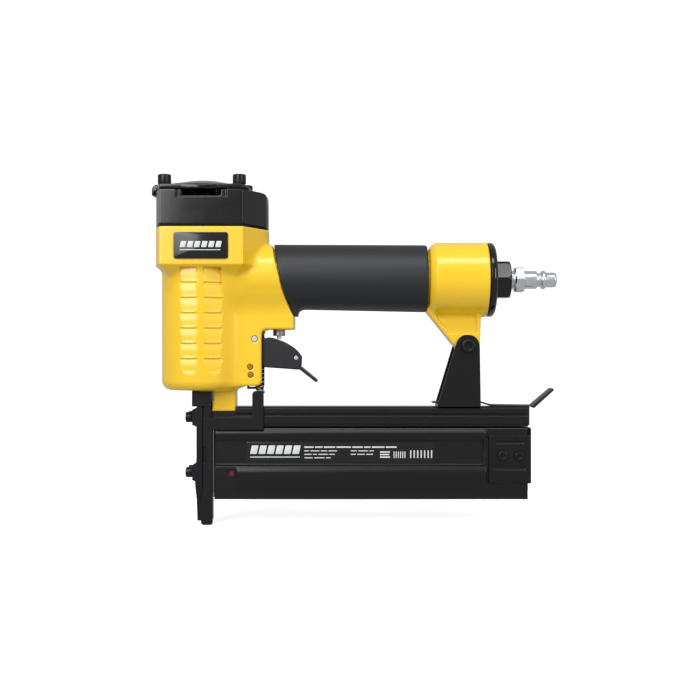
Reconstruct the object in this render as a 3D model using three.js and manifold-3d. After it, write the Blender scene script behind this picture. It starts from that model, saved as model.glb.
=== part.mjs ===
// Pneumatic brad nailer, in millimetres.
// The origin is the middle of the nose plate's end face, which presses on the work.
// +Z points up along the drive axis, +X points back along the handle to the air inlet,
// and the operator's right-hand side of the tool is -Y.
import * as THREE from 'three';
import { mergeVertices } from 'three/addons/utils/BufferGeometryUtils.js';
import Module from 'manifold-3d';

const wasm = await Module();
wasm.setup();

// ---------------------------------------------------------------- driving dimensions
const GAP = 0.3;                    // clearance between pieces that touch
const DRIVE_X = 2;                  // the drive axis stands this far behind the origin
const SHEET = 1.6;                  // thickness of the pressed steel pieces

const HEAD = { halfWidth: 30, front: -24, bulge: -37, shoulder: 29.7, rear: 44.2, rearHalf: 7,
  bottom: 168, top: 193 };
const BARREL = { x: -0.6, r: 26.5, bottom: 87, bore: 22, headBore: 25, headBoreBottom: 171 };
const FORK = { rear: 40.3, half: 13.3, bottom: 89.8, slotHalf: 10.8, slotFront: 29, top: 126 };
const VALVE = { x: 51.1, r: 4.1, bottom: 122.9, top: 143, blockRear: 61.7, blockBottom: 127 };
const HANDLE = { z: 161, coreR: 18.5, chamberR: 15.5, gripEnd: 149.8 };
const GRIP = { front: { x: 45, z: 162.4, r: 21.6 }, rear: { x: 150, z: 161.15, r: 22.45 } };
const FLARE = { z: 160.4, r: 24.8, front: 151, shoulder: 154.8, rear: 190 };
const STRUT = { x: 176.4, z: 116.1, half: 8.9, r: 8.7 };
const FOOT = { front: 6.9, rear: 22.6, half: 7, bottom: 72.9 };

const GASKET = { bottom: HEAD.top + GAP, thick: 0.5 };
const CAP = { bottom: HEAD.top + 1.1, top: 217.2, cavityR: 24.5, cavityTop: 212 };
const COVER = { bottom: CAP.top + GAP, plate: 3.1, rear: 33.4, domeR: 70.2, domeHalf: 27,
  domeTop: 226 };
const CAP_SCREW = { xs: [-21.7, 26.8], y: 23, headR: 4.4, headTop: 227.2, r: 2.5, end: 176 };

const LINER = { r: 20.5, bore: 17.5, bottom: 97, top: 168 };
const PISTON = { r: 17.2, bottom: 157, top: 167 };
const BLADE = { thick: 1.2, half: 1.5, tip: 62 };
const BUMPER = { r: 17, bore: 5, bottom: 90.3, top: 96.7 };
const HEAD_VALVE = { r: 23.6, bottom: LINER.top + GAP, top: 186 };

const TRIGGER_PIN = { x: 35.7, z: 120.7, r: 1.9 };
const LEVER_PIN = { x: 62.8, z: 108.3, r: 1.4 };
const TRIGGER = { half: 9, innerHalf: 7.4 };

const NOSE = { plateFront: -3, bossFront: -5.8, plateBack: 1, guideFront: 1.3, guideRear: 6.6, half: 8.6,
  plateHalf: 9.8, tipHalf: 5, tipTop: 14, plateTop: 75.9, blockTop: BARREL.bottom - GAP };
const NOSE_BOLT = { zs: [69, 32.5], y: 6.2, headR: 3.5, headFront: -10.4, r: 2 };

const RAIL = { front: 7.2, rear: 216.5, half: 8.5, bottom: 62.9, top: 75.9 };
const WEB = { near: 0.7, far: 3.5, bottom: 18 };
const SLIDER = { front: 8.6, near: -8.6, top: 62.5, bottom: 14.6, floor: 17.5, rear: 216.3 };
const CHANNEL = { near: -6.2, far: -0.9, bottom: 23.5, top: 36.2 };
const RECESS = { bottom: 37.7, top: 53.5, depth: 2, rear: 187 };
const PUSH_ROD = { y: -3.6, z: 29.8, r: 1.5, rear: 192 };

const SAFETY = { near: -10.5, far: -8.9, armFront: 33.9, armRear: 41.5, armTop: 86.2 };
const SAFETY_SPRING = { at: [38.9, -4.6], r: 2.1, wire: 0.35, turns: 8, top: 107.2 };
const GUIDE_PINS = [[32.8, 102.3], [33.2, 97.1]];
const GUIDE_PIN_R = 1.65;

const BRACKET = { near: 11.1, inner: 9.5, base: 78, front: 156.1, rear: 184.8 };
const REAR_SCREWS = [[199.3, 43.7], [209.8, 43.4]];
const BRACKET_SCREWS = [163, 178];
const LATCH = { half: 6.5, pivotX: 193, bottom: 76.2, thick: 1, tabX: 233.3, tabZ: 87.7 };

// ---------------------------------------------------------------- shape helpers
// A closed solid from a three.js geometry.
function solid(geometry) {
  const bare = geometry.index ? geometry.toNonIndexed() : geometry;
  for (const name of ['normal', 'uv']) bare.deleteAttribute(name);
  const merged = mergeVertices(bare, 1e-4);
  const p = merged.attributes.position.array;
  const corners = [];
  for (let i = 0; i < merged.index.count; i += 3) {
    const [a, b, c] = [0, 1, 2].map((k) => merged.index.getX(i + k));
    if (a !== b && b !== c && c !== a) corners.push(a, b, c);
  }
  const mesh = new wasm.Mesh({
    numProp: 3,
    vertProperties: new Float32Array(p),
    triVerts: new Uint32Array(corners),
  });
  return new wasm.Manifold(mesh);
}

const join = (...pieces) => pieces.reduce((a, b) => a.add(b));

// A box between two limits on each axis.
function block([x0, x1], [y0, y1], [z0, z1]) {
  const shape = new THREE.BoxGeometry(x1 - x0, y1 - y0, z1 - z0);
  return solid(shape.translate((x0 + x1) / 2, (y0 + y1) / 2, (z0 + z1) / 2));
}

// Turns a shape made around the Y axis so that it stands along x, y or z.
function along(axis, geometry) {
  if (axis === 'z') geometry.rotateX(Math.PI / 2);
  if (axis === 'x') geometry.rotateZ(-Math.PI / 2);
  return geometry;
}

// A round bar from one place to another along an axis; `at` gives the other two coordinates.
function bar(axis, r, [from, to], at, sides = 24) {
  const shape = along(axis, new THREE.CylinderGeometry(r, r, to - from, sides));
  const middle = (from + to) / 2;
  const centre = { x: [middle, ...at], y: [at[0], middle, at[1]], z: [...at, middle] }[axis];
  return solid(shape.translate(...centre));
}

// A turned piece: pairs of radius and place along the axis, closed on themselves.
function turned(axis, profile, at, sides = 24) {
  const points = [...profile, profile[0]].map(([r, t]) => new THREE.Vector2(r, t));
  const shape = along(axis, new THREE.LatheGeometry(points, sides));
  const centre = { x: [0, ...at], y: [at[0], 0, at[1]], z: [...at, 0] }[axis];
  const made = solid(shape.translate(...centre));
  return made.volume() < 0 ? solid(reversed(shape)) : made;
}

// The same geometry with its triangles turned inside out.
function reversed(geometry) {
  const bare = geometry.index ? geometry.toNonIndexed() : geometry;
  const p = bare.attributes.position;
  for (let i = 0; i < p.count; i += 3) {
    const first = [p.getX(i), p.getY(i), p.getZ(i)];
    p.setXYZ(i, p.getX(i + 1), p.getY(i + 1), p.getZ(i + 1));
    p.setXYZ(i + 1, ...first);
  }
  return bare;
}

// An outline through points; an array of four numbers curves to its last two.
function outline(points) {
  const shape = new THREE.Shape();
  shape.moveTo(...points[0]);
  for (const point of points.slice(1)) {
    if (point.length === 2) shape.lineTo(...point);
    else shape.quadraticCurveTo(...point);
  }
  shape.closePath();
  return shape;
}

const extrude = (shape, depth, steps = 5) =>
  new THREE.ExtrudeGeometry(shape, { depth, bevelEnabled: false, curveSegments: steps });

// A side view in x and z, cut out across y.
function side(points, [y0, y1], steps) {
  const shape = extrude(outline(points), y1 - y0, steps).rotateX(Math.PI / 2);
  return solid(shape.translate(0, y1, 0));
}

// A plan view in x and y, raised along z.
function plan(points, [z0, z1], steps) {
  return solid(extrude(outline(points), z1 - z0, steps).translate(0, 0, z0));
}

// A cross-section in y and z, drawn out along x.
function section(points, [x0, x1], steps) {
  const turn = new THREE.Matrix4().makeBasis(
    new THREE.Vector3(0, 1, 0), new THREE.Vector3(0, 0, 1), new THREE.Vector3(1, 0, 0));
  return solid(extrude(outline(points), x1 - x0, steps).applyMatrix4(turn).translate(x0, 0, 0));
}

// A ring seal of round section around an axis.
function ringSeal(axis, r, wire, place, at) {
  const circle = Array.from({ length: 6 }, (_, i) => {
    const angle = i * Math.PI / 3;
    return [r + wire * Math.cos(angle), place + wire * Math.sin(angle)];
  });
  return turned(axis, circle, at, 24);
}

// A coil spring along z or x, from one place to another.
function coil(axis, { r, wire, turns, steps = 8 }, [from, to], at) {
  class Helix extends THREE.Curve {
    getPoint(t, target = new THREE.Vector3()) {
      const angle = 2 * Math.PI * turns * t;
      const [a, b] = [r * Math.cos(angle), r * Math.sin(angle)];
      const reach = from + wire + (to - from - 2 * wire) * t;
      if (axis === 'z') return target.set(at[0] + a, at[1] + b, reach);
      return target.set(reach, at[0] + a, at[1] + b);
    }
  }
  const wireShape = new THREE.Shape();
  for (let i = 0; i < 4; i += 1) {
    const angle = i * Math.PI / 2;
    const point = [wire * Math.cos(angle), wire * Math.sin(angle)];
    if (i === 0) wireShape.moveTo(...point);
    else wireShape.lineTo(...point);
  }
  wireShape.closePath();
  const shape = new THREE.ExtrudeGeometry(wireShape,
    { steps: Math.round(turns * steps), extrudePath: new Helix(), bevelEnabled: false });
  const made = solid(shape);
  return made.volume() < 0 ? solid(reversed(shape)) : made;
}

// ---------------------------------------------------------------- finishes
const finish = (color, roughness, metalness) =>
  () => new THREE.MeshStandardMaterial({ color, roughness, metalness });
const yellowEnamel = finish('#f6c928', 0.35, 0.1);
const blackEnamel = finish('#1b1c1e', 0.4, 0.2);
const blackAnodised = finish('#202123', 0.45, 0.6);
const blackOxide = finish('#26262a', 0.45, 0.8);
const gripRubber = finish('#34373d', 0.85, 0);
const sealRubber = finish('#151515', 0.9, 0);
const brightSteel = finish('#c9cbcf', 0.25, 1);
const brass = finish('#b08d4a', 0.35, 1);
const castAluminium = finish('#a9acb0', 0.5, 0.9);
const bumperRubber = finish('#6b4a2f', 0.8, 0);
const redPlastic = finish('#a3213b', 0.5, 0);
const labelFilm = finish('#121314', 0.3, 0);

const gun = new THREE.Group();

// Adds a solid to the tool as a named mesh.
function add(name, made, material) {
  const { vertProperties, triVerts, numProp } = made.getMesh();
  const geometry = new THREE.BufferGeometry();
  geometry.setAttribute('position', new THREE.BufferAttribute(vertProperties, numProp));
  geometry.setIndex(new THREE.BufferAttribute(triVerts, 1));
  const mesh = new THREE.Mesh(geometry, material());
  mesh.name = name;
  gun.add(mesh);
}

// ---------------------------------------------------------------- gun body casting
// The head's plan: a bulged front, flat sides and a tapered rear; `inset` shrinks it.
function headPlan(inset = 0) {
  const { halfWidth, front, bulge, shoulder, rear, rearHalf } = HEAD;
  const y = halfWidth - inset;
  return [[front, -y], [shoulder, -y], [rear - inset, -rearHalf], [rear - inset, rearHalf],
    [shoulder, y], [front, y], [bulge + 2 * inset, 0, front, -y]];
}

// The side view of everything in front of the grip; the last stretch is the slanted joint line.
const neckSide = [[0, 186], [46.4, 186], [53.9, 154], [57, 144, 61.5, 136], [VALVE.blockRear, 136],
  [VALVE.blockRear, VALVE.blockBottom],
  [FORK.rear + 3, VALVE.blockBottom], [FORK.rear, VALVE.blockBottom, FORK.rear, 124],
  [FORK.rear, FORK.bottom + 3], [FORK.rear, FORK.bottom, FORK.rear - 3, FORK.bottom],
  [0, FORK.bottom]];

function gunBody() {
  const head = plan(headPlan(), [HEAD.bottom, HEAD.top], 8);
  const barrel = turned('z', [[0, BARREL.bottom], [BARREL.r - 6.5, BARREL.bottom],
    [BARREL.r - 3.2, BARREL.bottom + 0.9], [BARREL.r - 0.9, BARREL.bottom + 3.2],
    [BARREL.r, BARREL.bottom + 6.5], [BARREL.r, 172], [0, 172]],
    [BARREL.x, 0], 40);
  const neckFill = side(neckSide, [-FORK.half, FORK.half], 5);
  const neck = bar('x', GRIP.front.r - 0.3, [20, 75], [0, GRIP.front.z], 32)
    .intersect(side(neckSide, [-HEAD.halfWidth, HEAD.halfWidth], 5));
  const core = bar('x', HANDLE.coreR, [30, FLARE.shoulder], [0, HANDLE.z], 32);
  const flare = turned('x', [[0, FLARE.front], [21.5, FLARE.front], [FLARE.r, FLARE.shoulder],
    [FLARE.r, FLARE.rear], [0, FLARE.rear]], [0, FLARE.z], 36);
  const strut = side([[150.5, 139], [166.4, 117.6], [168, STRUT.z], [168.4, 108, STRUT.x, 107.4],
    [184.8, 108, 185.1, STRUT.z], [185.1, 150], [158, 150]], [-STRUT.half, STRUT.half], 5);
  const foot = block([FOOT.front, FOOT.rear], [-FOOT.half, FOOT.half], [FOOT.bottom, FORK.bottom + 2]);
  let body = join(head, barrel, neckFill, neck, core, flare, strut, foot);

  const mainBore = turned('z', [[0, 86], [9, 86], [9, 90], [BARREL.bore, 90],
    [BARREL.bore, BARREL.headBoreBottom], [BARREL.headBore, BARREL.headBoreBottom],
    [BARREL.headBore, 193], [0, 193]], [DRIVE_X, 0], 36);
  const chamber = bar('x', HANDLE.chamberR, [DRIVE_X, FLARE.rear + 1], [0, HANDLE.z], 28);
  const rearBore = bar('x', HANDLE.chamberR, [178, FLARE.rear + 1], [0, FLARE.z], 28);
  const valveBore = bar('z', VALVE.r + 0.1, [VALVE.blockBottom - 1, 150], [VALVE.x, 0], 24);
  const slot = block([FORK.slotFront, 45], [-FORK.slotHalf, FORK.slotHalf], [80, FORK.top]);
  const pinHoles = [[TRIGGER_PIN.x, TRIGGER_PIN.z, TRIGGER_PIN.r], [...GUIDE_PINS[0], GUIDE_PIN_R],
    [...GUIDE_PINS[1], GUIDE_PIN_R], [STRUT.x, STRUT.z, 3]]
    .map(([x, z, r]) => bar('y', r + 0.1, [-15, 15], [x, z], 16));
  const screwHoles = CAP_SCREW.xs.flatMap((x) => [-1, 1]
    .map((s) => bar('z', CAP_SCREW.r + 0.1, [CAP_SCREW.end - 2, 193], [x, s * CAP_SCREW.y], 12)));
  for (const hole of [mainBore, chamber, rearBore, valveBore, slot, ...pinHoles, ...screwHoles]) {
    body = body.subtract(hole);
  }
  const springSeat = block([FORK.slotFront - 1, FORK.rear], [SAFETY_SPRING.at[1] - 2.5, -1.6],
    [SAFETY_SPRING.top + GAP, SAFETY_SPRING.top + 2.8]);
  return body.add(springSeat);
}
add('gun_body', gunBody(), yellowEnamel);

add('name_badge', block([-14.6, 20.3], [-31, -30.3], [172.1, 189.1]), labelFilm);

// ---------------------------------------------------------------- cylinder cap
// Takes the four screw holes out of a piece that lies on the head.
function drilledForCap(piece) {
  return CAP_SCREW.xs.flatMap((x) => [[x, -CAP_SCREW.y], [x, CAP_SCREW.y]])
    .reduce((made, at) => made.subtract(bar('z', CAP_SCREW.r + 0.1, [150, 230], at, 12)), piece);
}

const drive = [DRIVE_X, 0];
const gasket = plan(headPlan(0.6), [GASKET.bottom, GASKET.bottom + GASKET.thick], 8)
  .subtract(bar('z', BARREL.headBore, [190, 196], drive, 36));
add('cap_gasket', drilledForCap(gasket), sealRubber);

function cylinderCap() {
  const shell = side([[-32, CAP.bottom], [HEAD.rear, CAP.bottom], [HEAD.rear - 0.2, 214.5],
    [HEAD.rear - 2, 216.8], [HEAD.rear - 4, CAP.top], [-32, CAP.top]], [-HEAD.halfWidth, HEAD.halfWidth]);
  const cavity = bar('z', CAP.cavityR, [CAP.bottom - 1, CAP.cavityTop], drive, 36);
  const exhaustPort = bar('z', 6, [CAP.cavityTop - 1, CAP.top + 1], drive, 16);
  const window = block([-13, 19.4], [-31, -28], [211, CAP.top + 1]);
  const duct = block([-10, 14.7], [-31, 0], [213.5, CAP.top + 1]);
  const cap = plan(headPlan(0.3), [CAP.bottom, CAP.top], 8).intersect(shell);
  return drilledForCap(cap.subtract(cavity).subtract(exhaustPort).subtract(window).subtract(duct));
}
add('cylinder_cap', cylinderCap(), blackEnamel);

function exhaustCover() {
  const plate = plan(headPlan(0.6), [COVER.bottom, COVER.bottom + COVER.plate], 8)
    .intersect(block([-40, COVER.rear], [-31, 31], [200, 230]));
  const crown = Array.from({ length: 7 }, (_, i) => {
    const angle = Math.asin(COVER.domeHalf / COVER.domeR) * (1 - i / 6);
    const drop = COVER.domeR * (1 - Math.cos(angle));
    return [COVER.domeR * Math.sin(angle), COVER.domeTop - drop];
  });
  const dome = turned('z', [[0, COVER.bottom + 1], [COVER.domeHalf, COVER.bottom + 1], ...crown],
    [1, 0], 36);
  const lip = side([[-32.8, 216], [-31.8, 215.4], [-30.9, 216.2], [-30.9, COVER.bottom],
    [-14, COVER.bottom + 1], [-14, 224.4], [-28, 223.4], [-32.8, 222.9, -32.8, 219]], [-9, 9]);
  return drilledForCap(join(plate, dome, lip));
}
add('exhaust_cover', exhaustCover(), blackEnamel);

// A socket-head cap screw along an axis, from the end of its head to its tip.
function capScrew(axis, { headR, r, socketR }, [headEnd, headBase, tip], at) {
  const sorted = (a, b) => [Math.min(a, b), Math.max(a, b)];
  const inward = Math.sign(headBase - headEnd);
  const head = bar(axis, headR, sorted(headEnd, headBase), at, 18);
  const shank = bar(axis, r, sorted(headBase - inward * 0.2, tip), at, 10);
  const socket = bar(axis, socketR, sorted(headEnd - inward, headEnd + inward * 2.4), at, 6);
  return head.add(shank).subtract(socket);
}

let capScrewNumber = 0;
for (const x of CAP_SCREW.xs) {
  for (const y of [-CAP_SCREW.y, CAP_SCREW.y]) {
    capScrewNumber += 1;
    const headBase = COVER.bottom + COVER.plate + GAP;
    add(`cap_screw_${capScrewNumber}`, capScrew('z',
      { headR: CAP_SCREW.headR, r: CAP_SCREW.r, socketR: 2.3 },
      [CAP_SCREW.headTop, headBase, CAP_SCREW.end], [x, y]), blackOxide);
  }
}

// ---------------------------------------------------------------- drive train
add('cylinder', turned('z', [[LINER.bore, LINER.bottom], [LINER.r, LINER.bottom],
  [LINER.r, LINER.top], [LINER.bore, LINER.top]], drive, 36), castAluminium);
add('cylinder_seal_lower', ringSeal('z', 21.25, 0.55, 102, drive), sealRubber);
add('cylinder_seal_upper', ringSeal('z', 21.25, 0.55, 157, drive), sealRubber);

const pistonProfile = [[0, PISTON.bottom], [PISTON.r, PISTON.bottom], [PISTON.r, 160.5],
  [PISTON.r - 1.6, 160.5], [PISTON.r - 1.6, 163.5], [PISTON.r, 163.5], [PISTON.r, PISTON.top],
  [0, PISTON.top]];
const bladeSlot = block([DRIVE_X - 0.9, DRIVE_X + 0.9], [-1.8, 1.8], [PISTON.bottom - 1, 161]);
add('piston', turned('z', pistonProfile, drive, 32).subtract(bladeSlot), castAluminium);
add('piston_ring_seal', ringSeal('z', PISTON.r - 0.7, 0.7, 162, drive), sealRubber);
add('driver_blade', block([DRIVE_X - BLADE.thick / 2, DRIVE_X + BLADE.thick / 2],
  [-BLADE.half, BLADE.half], [BLADE.tip, 160.7]), brightSteel);
add('bumper', turned('z', [[BUMPER.bore, BUMPER.bottom], [BUMPER.r, BUMPER.bottom],
  [BUMPER.r - 1, 93.5], [BUMPER.r, BUMPER.top], [BUMPER.bore, BUMPER.top]], drive, 28), bumperRubber);

add('head_valve_piston', turned('z', [[15, HEAD_VALVE.bottom], [21.5, HEAD_VALVE.bottom],
  [21.5, 176], [HEAD_VALVE.r, 176], [HEAD_VALVE.r, 178.4], [HEAD_VALVE.r - 1, 178.4],
  [HEAD_VALVE.r - 1, 181.6], [HEAD_VALVE.r, 181.6], [HEAD_VALVE.r, HEAD_VALVE.top],
  [15, HEAD_VALVE.top]], drive, 32), castAluminium);
add('head_valve_ring_seal', ringSeal('z', HEAD_VALVE.r + 0.35, 0.8, 180, drive), sealRubber);
add('head_valve_spring', coil('z', { r: 19, wire: 0.9, turns: 5, steps: 14 },
  [HEAD_VALVE.top + GAP, CAP.cavityTop - GAP], drive), brightSteel);

// ---------------------------------------------------------------- trigger valve
const valve = [VALVE.x, 0];
add('trigger_valve_housing', turned('z', [[1.75, VALVE.bottom], [VALVE.r, VALVE.bottom],
  [VALVE.r, VALVE.top], [1.2, VALVE.top], [1.2, 142], [2.6, 142], [2.6, 125], [1.75, 125]],
  valve, 24), brass);
add('trigger_valve_stem', turned('z', [[0, 121], [1.5, 121], [1.5, 125.3], [2.3, 125.6],
  [2.3, 129], [0, 129]], valve, 20), brightSteel);
add('trigger_valve_spring', coil('z', { r: 1.8, wire: 0.3, turns: 7 }, [129.3, 141.7], valve), brightSteel);

// ---------------------------------------------------------------- trigger
// A pressed channel: two cheeks joined by a bottom web that runs on into the finger tongue.
function trigger() {
  const cheek = [[31.8, 117.5], [31.6, 124.6, 35.7, 124.6], [39.5, 124.4, 41.4, 121],
    [44.5, 122.4, 47, 121.6], [61, 117.5, 66.1, 109.1], [65.9, 103.5], [65.3, 100.4], [42, 102]];
  const cheeks = side(cheek, [-TRIGGER.half, TRIGGER.half], 6)
    .subtract(side([[20, 100], [41.9, 100], [41.9, 103.6], [70, 102.2], [70, 130], [20, 130]],
      [-TRIGGER.innerHalf, TRIGGER.innerHalf]));
  const tongue = side([[63, 100.6], [65.3, 100.4], [75.6, 92.2], [76.8, 93.6], [66.3, 102.2],
    [63, 102.2]], [-TRIGGER.half, TRIGGER.half]);
  const pinHole = bar('y', TRIGGER_PIN.r + 0.1, [-15, 15], [TRIGGER_PIN.x, TRIGGER_PIN.z], 20);
  const leverHole = bar('y', LEVER_PIN.r + 0.1, [-15, 15], [LEVER_PIN.x, LEVER_PIN.z], 16);
  return cheeks.add(tongue).subtract(pinHole).subtract(leverHole);
}
add('trigger', trigger(), blackEnamel);
add('trigger_pin', bar('y', TRIGGER_PIN.r, [-FORK.half, FORK.half],
  [TRIGGER_PIN.x, TRIGGER_PIN.z], 20), brightSteel);

// The lever runs forward from its pin, under the valve stem, to the top of the safety.
const lever = side([[40, 113], [44, 113.2], [53, 113.4], [60.3, 107.4], [62.6, 105.6, 64.9, 107.4],
  [65.4, 110.4, 62.8, 110.8], [60.5, 111], [52.5, 115.6], [40, 114.6]], [-4.5, 4.5], 4)
  .subtract(bar('y', LEVER_PIN.r + 0.1, [-15, 15], [LEVER_PIN.x, LEVER_PIN.z], 16));
add('trigger_lever', lever, brightSteel);
add('trigger_lever_pin', bar('y', LEVER_PIN.r, [-TRIGGER.half - 0.3, TRIGGER.half + 0.3],
  [LEVER_PIN.x, LEVER_PIN.z], 16), brightSteel);

// ---------------------------------------------------------------- safety
// The lower piece is one pressing beside the nose: contact tip, strip, link and arm.
function safetyLower() {
  const { near, far, armFront, armRear, armTop } = SAFETY;
  const strip = side([[0.1, 0], [0.1, -2, 2, -2], [6, -2], [7.8, -2, 7.8, 0], [7.8, 66],
    [7.8, 69, 5, 69], [4, 69], [1.4, 69, 1.4, 66], [1.4, 17], [0.1, 11]], [near, far], 4);
  const link = block([5, armRear], [near, far], [60.7, 69]);
  const arm = side([[armFront, 60.7], [armRear, 60.7], [armRear, armTop], [armFront + 1, armTop],
    [armFront, armTop - 1.5]], [near, far]);
  const shelf = block([armFront + 1, armRear], [far - 0.2, 1.4], [armTop - SHEET, armTop]);
  const hole = side([[1, 39], [1, 49.4], [3, 49.4], [3, 39]], [near - 1, far + 1]);
  return join(strip, link, arm, shelf).subtract(hole);
}
add('safety_lower', safetyLower(), blackOxide);

// The upper piece is a flat bar whose long slot rides on the two guide pins.
const safetyUpper = side([[29.6, 87.4], [35.5, 87.4], [35.5, SAFETY.armTop + GAP],
  [40.4, SAFETY.armTop + GAP], [41.2, 90], [41.2, 110.8], [39.4, 112.4], [38, 112.4], [36.5, 107],
  [29.6, 107]], [-1, 1.2])
  .subtract(side([[31, 88.9], [35.1, 88.9], [35.1, 104.4], [31, 104.4]], [-2, 2]));
add('safety_upper', safetyUpper, blackOxide);
add('safety_spring', coil('z', SAFETY_SPRING, [SAFETY.armTop + GAP, SAFETY_SPRING.top],
  SAFETY_SPRING.at), brightSteel);
GUIDE_PINS.forEach((at, i) => {
  add(`safety_guide_pin_${i + 1}`, bar('y', GUIDE_PIN_R, [-FORK.half, FORK.half], at, 16), brass);
});

// ---------------------------------------------------------------- handle
function gripSleeve() {
  const { front, rear } = GRIP;
  const tube = bar('x', 1, [front.x - 5, HANDLE.gripEnd], [0, 0], 36).warp((v) => {
    const t = (v[0] - front.x) / (rear.x - front.x);
    const r = front.r + (rear.r - front.r) * t;
    v[1] *= r;
    v[2] = v[2] * r + front.z + (rear.z - front.z) * t;
  });
  const skirt = side([[50, 150], [68, 150], [68, 140.8], [63.8, 140.4, 63.2, 136], [50, 136]],
    [-FORK.half + 2, FORK.half - 2], 4);
  const behindNeck = side([[46.9, 186], [54.3, 154], [57.4, 144, 61.9, 136], [160, 130], [160, 190],
    [46.9, 190]], [-HEAD.halfWidth, HEAD.halfWidth], 5);
  const bore = bar('x', HANDLE.coreR + GAP, [30, 160], [0, HANDLE.z], 36);
  return tube.add(skirt).intersect(behindNeck).subtract(bore);
}
add('grip_sleeve', gripSleeve(), gripRubber);

const inlet = [0, FLARE.z];
const spigotR = HANDLE.chamberR - 1.7;
const endCap = join(
  turned('x', [[5.4, 181], [spigotR, 181], [spigotR, FLARE.rear + GAP], [FLARE.r, FLARE.rear + GAP],
    [FLARE.r, 193.6], [FLARE.r - 1.4, 195.2], [5.4, 195.2]], inlet, 36),
  turned('x', [[5.4, 194], [13.85, 194], [13.85, 204.6], [12.4, 205.4], [5.4, 205.4]], inlet, 6));
add('end_cap', endCap.add(bar('x', 11.6, [194.5, 205.4], inlet, 24))
  .subtract(bar('x', 5.4, [180, 207], inlet, 24)), blackEnamel);
add('end_cap_ring_seal', ringSeal('x', spigotR + 0.7, 0.6, 186, inlet), sealRubber);

const plugProfile = [[3.2, 198], [5.1, 198], [5.1, 205.7], [6.2, 205.7], [6.2, 208.4],
  [6.6, 208.4], [6.6, 214.8], [5.8, 215], [5.8, 222.9], [4.7, 223.6], [4.7, 225.8], [6.1, 227],
  [6.1, 228.6], [4.9, 229.6], [4.9, 235.6], [4.4, 236.3], [3.2, 236.3]];
const plugHex = bar('x', 9.4, [208.4, 214.8], inlet, 6).subtract(bar('x', 3.2, [208, 215], inlet, 24));
add('air_plug', turned('x', plugProfile, inlet, 24).add(plugHex), brightSteel);

// ---------------------------------------------------------------- nose
const driverChannel = block([NOSE.guideFront - 1, DRIVE_X + 0.8], [-1.75, 1.75], [-1, NOSE.blockTop + 1]);

function driverGuide() {
  const top = block([-5.8, NOSE.guideRear], [-11, 11], [NOSE.plateTop + GAP, NOSE.blockTop]);
  const body = block([NOSE.guideFront, NOSE.guideRear], [-NOSE.half, NOSE.half],
    [NOSE.tipTop, NOSE.plateTop + 1]);
  const tip = block([NOSE.guideFront, NOSE.guideRear], [-NOSE.tipHalf, NOSE.tipHalf], [0, NOSE.tipTop + 1]);
  const nailSlot = block([DRIVE_X, NOSE.guideRear + 1], [-0.9, 0.9], [17.5, 70]);
  return join(top, body, tip).subtract(driverChannel).subtract(nailSlot);
}

function nosePlate() {
  const face = side([[NOSE.plateFront, 0], [NOSE.plateBack, 0], [NOSE.plateBack, NOSE.plateTop],
    [NOSE.plateFront, NOSE.plateTop], [NOSE.plateFront, 43], [NOSE.plateFront - 0.9, 26]],
    [-NOSE.plateHalf, NOSE.plateHalf]);
  const front = section([[-NOSE.tipHalf, 0], [NOSE.tipHalf, 0], [NOSE.tipHalf, NOSE.tipTop],
    [NOSE.plateHalf, 24], [NOSE.plateHalf, NOSE.plateTop], [-NOSE.plateHalf, NOSE.plateTop],
    [-NOSE.plateHalf, 24], [-NOSE.tipHalf, NOSE.tipTop]], [-9, 9]);
  const bosses = NOSE_BOLT.zs.map((z) => side([[0, z - 7], [NOSE.plateFront, z - 6.2],
    [NOSE.bossFront, z - 5], [NOSE.bossFront, z + 5], [NOSE.plateFront, z + 6.4], [0, z + 6.9]],
    [-NOSE.plateHalf, NOSE.plateHalf]));
  return join(face.intersect(front), ...bosses);
}

let guide = driverGuide();
let plate = nosePlate();
let noseBoltNumber = 0;
for (const z of NOSE_BOLT.zs) {
  for (const y of [-NOSE_BOLT.y, NOSE_BOLT.y]) {
    noseBoltNumber += 1;
    const hole = bar('x', NOSE_BOLT.r + 0.1, [-12, 6.2], [y, z], 12);
    guide = guide.subtract(hole);
    plate = plate.subtract(hole);
    add(`nose_bolt_${noseBoltNumber}`, capScrew('x', { headR: NOSE_BOLT.headR, r: NOSE_BOLT.r,
      socketR: 1.8 }, [NOSE_BOLT.headFront, NOSE.bossFront - GAP, 5.8], [y, z]), blackOxide);
  }
}
add('driver_guide', guide, blackOxide);
add('nose_plate', plate, blackOxide);

// ---------------------------------------------------------------- magazine
function fixedMagazine() {
  const { half, bottom, top, front, rear } = RAIL;
  const rail = section([[-half + 0.6, bottom], [-half + 0.6, bottom + 1.4], [-half, bottom + 1.8],
    [-half, 69.6], [-half + 0.9, 70.1], [-half + 0.9, 70.9], [-half, 71.4], [-half, top - 1],
    [-half + 1, top], [half - 1, top], [half, top - 1], [half, 71.4], [half - 0.9, 70.9],
    [half - 0.9, 70.1], [half, 69.6], [half, bottom]], [front, rear]);
  const web = block([front, rear - 4], [WEB.near, WEB.far], [WEB.bottom, bottom + 1]);
  const nailSlot = block([front - 1, rear + 1], [-0.75, WEB.near], [bottom - 1, 69]);
  const footRoom = block([front - 1, FOOT.rear + GAP], [-half - 1, half + 1], [FOOT.bottom - GAP, top + 1]);
  const nearRelief = block([front - 1, FOOT.rear + GAP], [-half - 1, -6.5], [69.2, top + 1]);
  return rail.add(web).subtract(nailSlot).subtract(footRoom).subtract(nearRelief);
}

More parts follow.
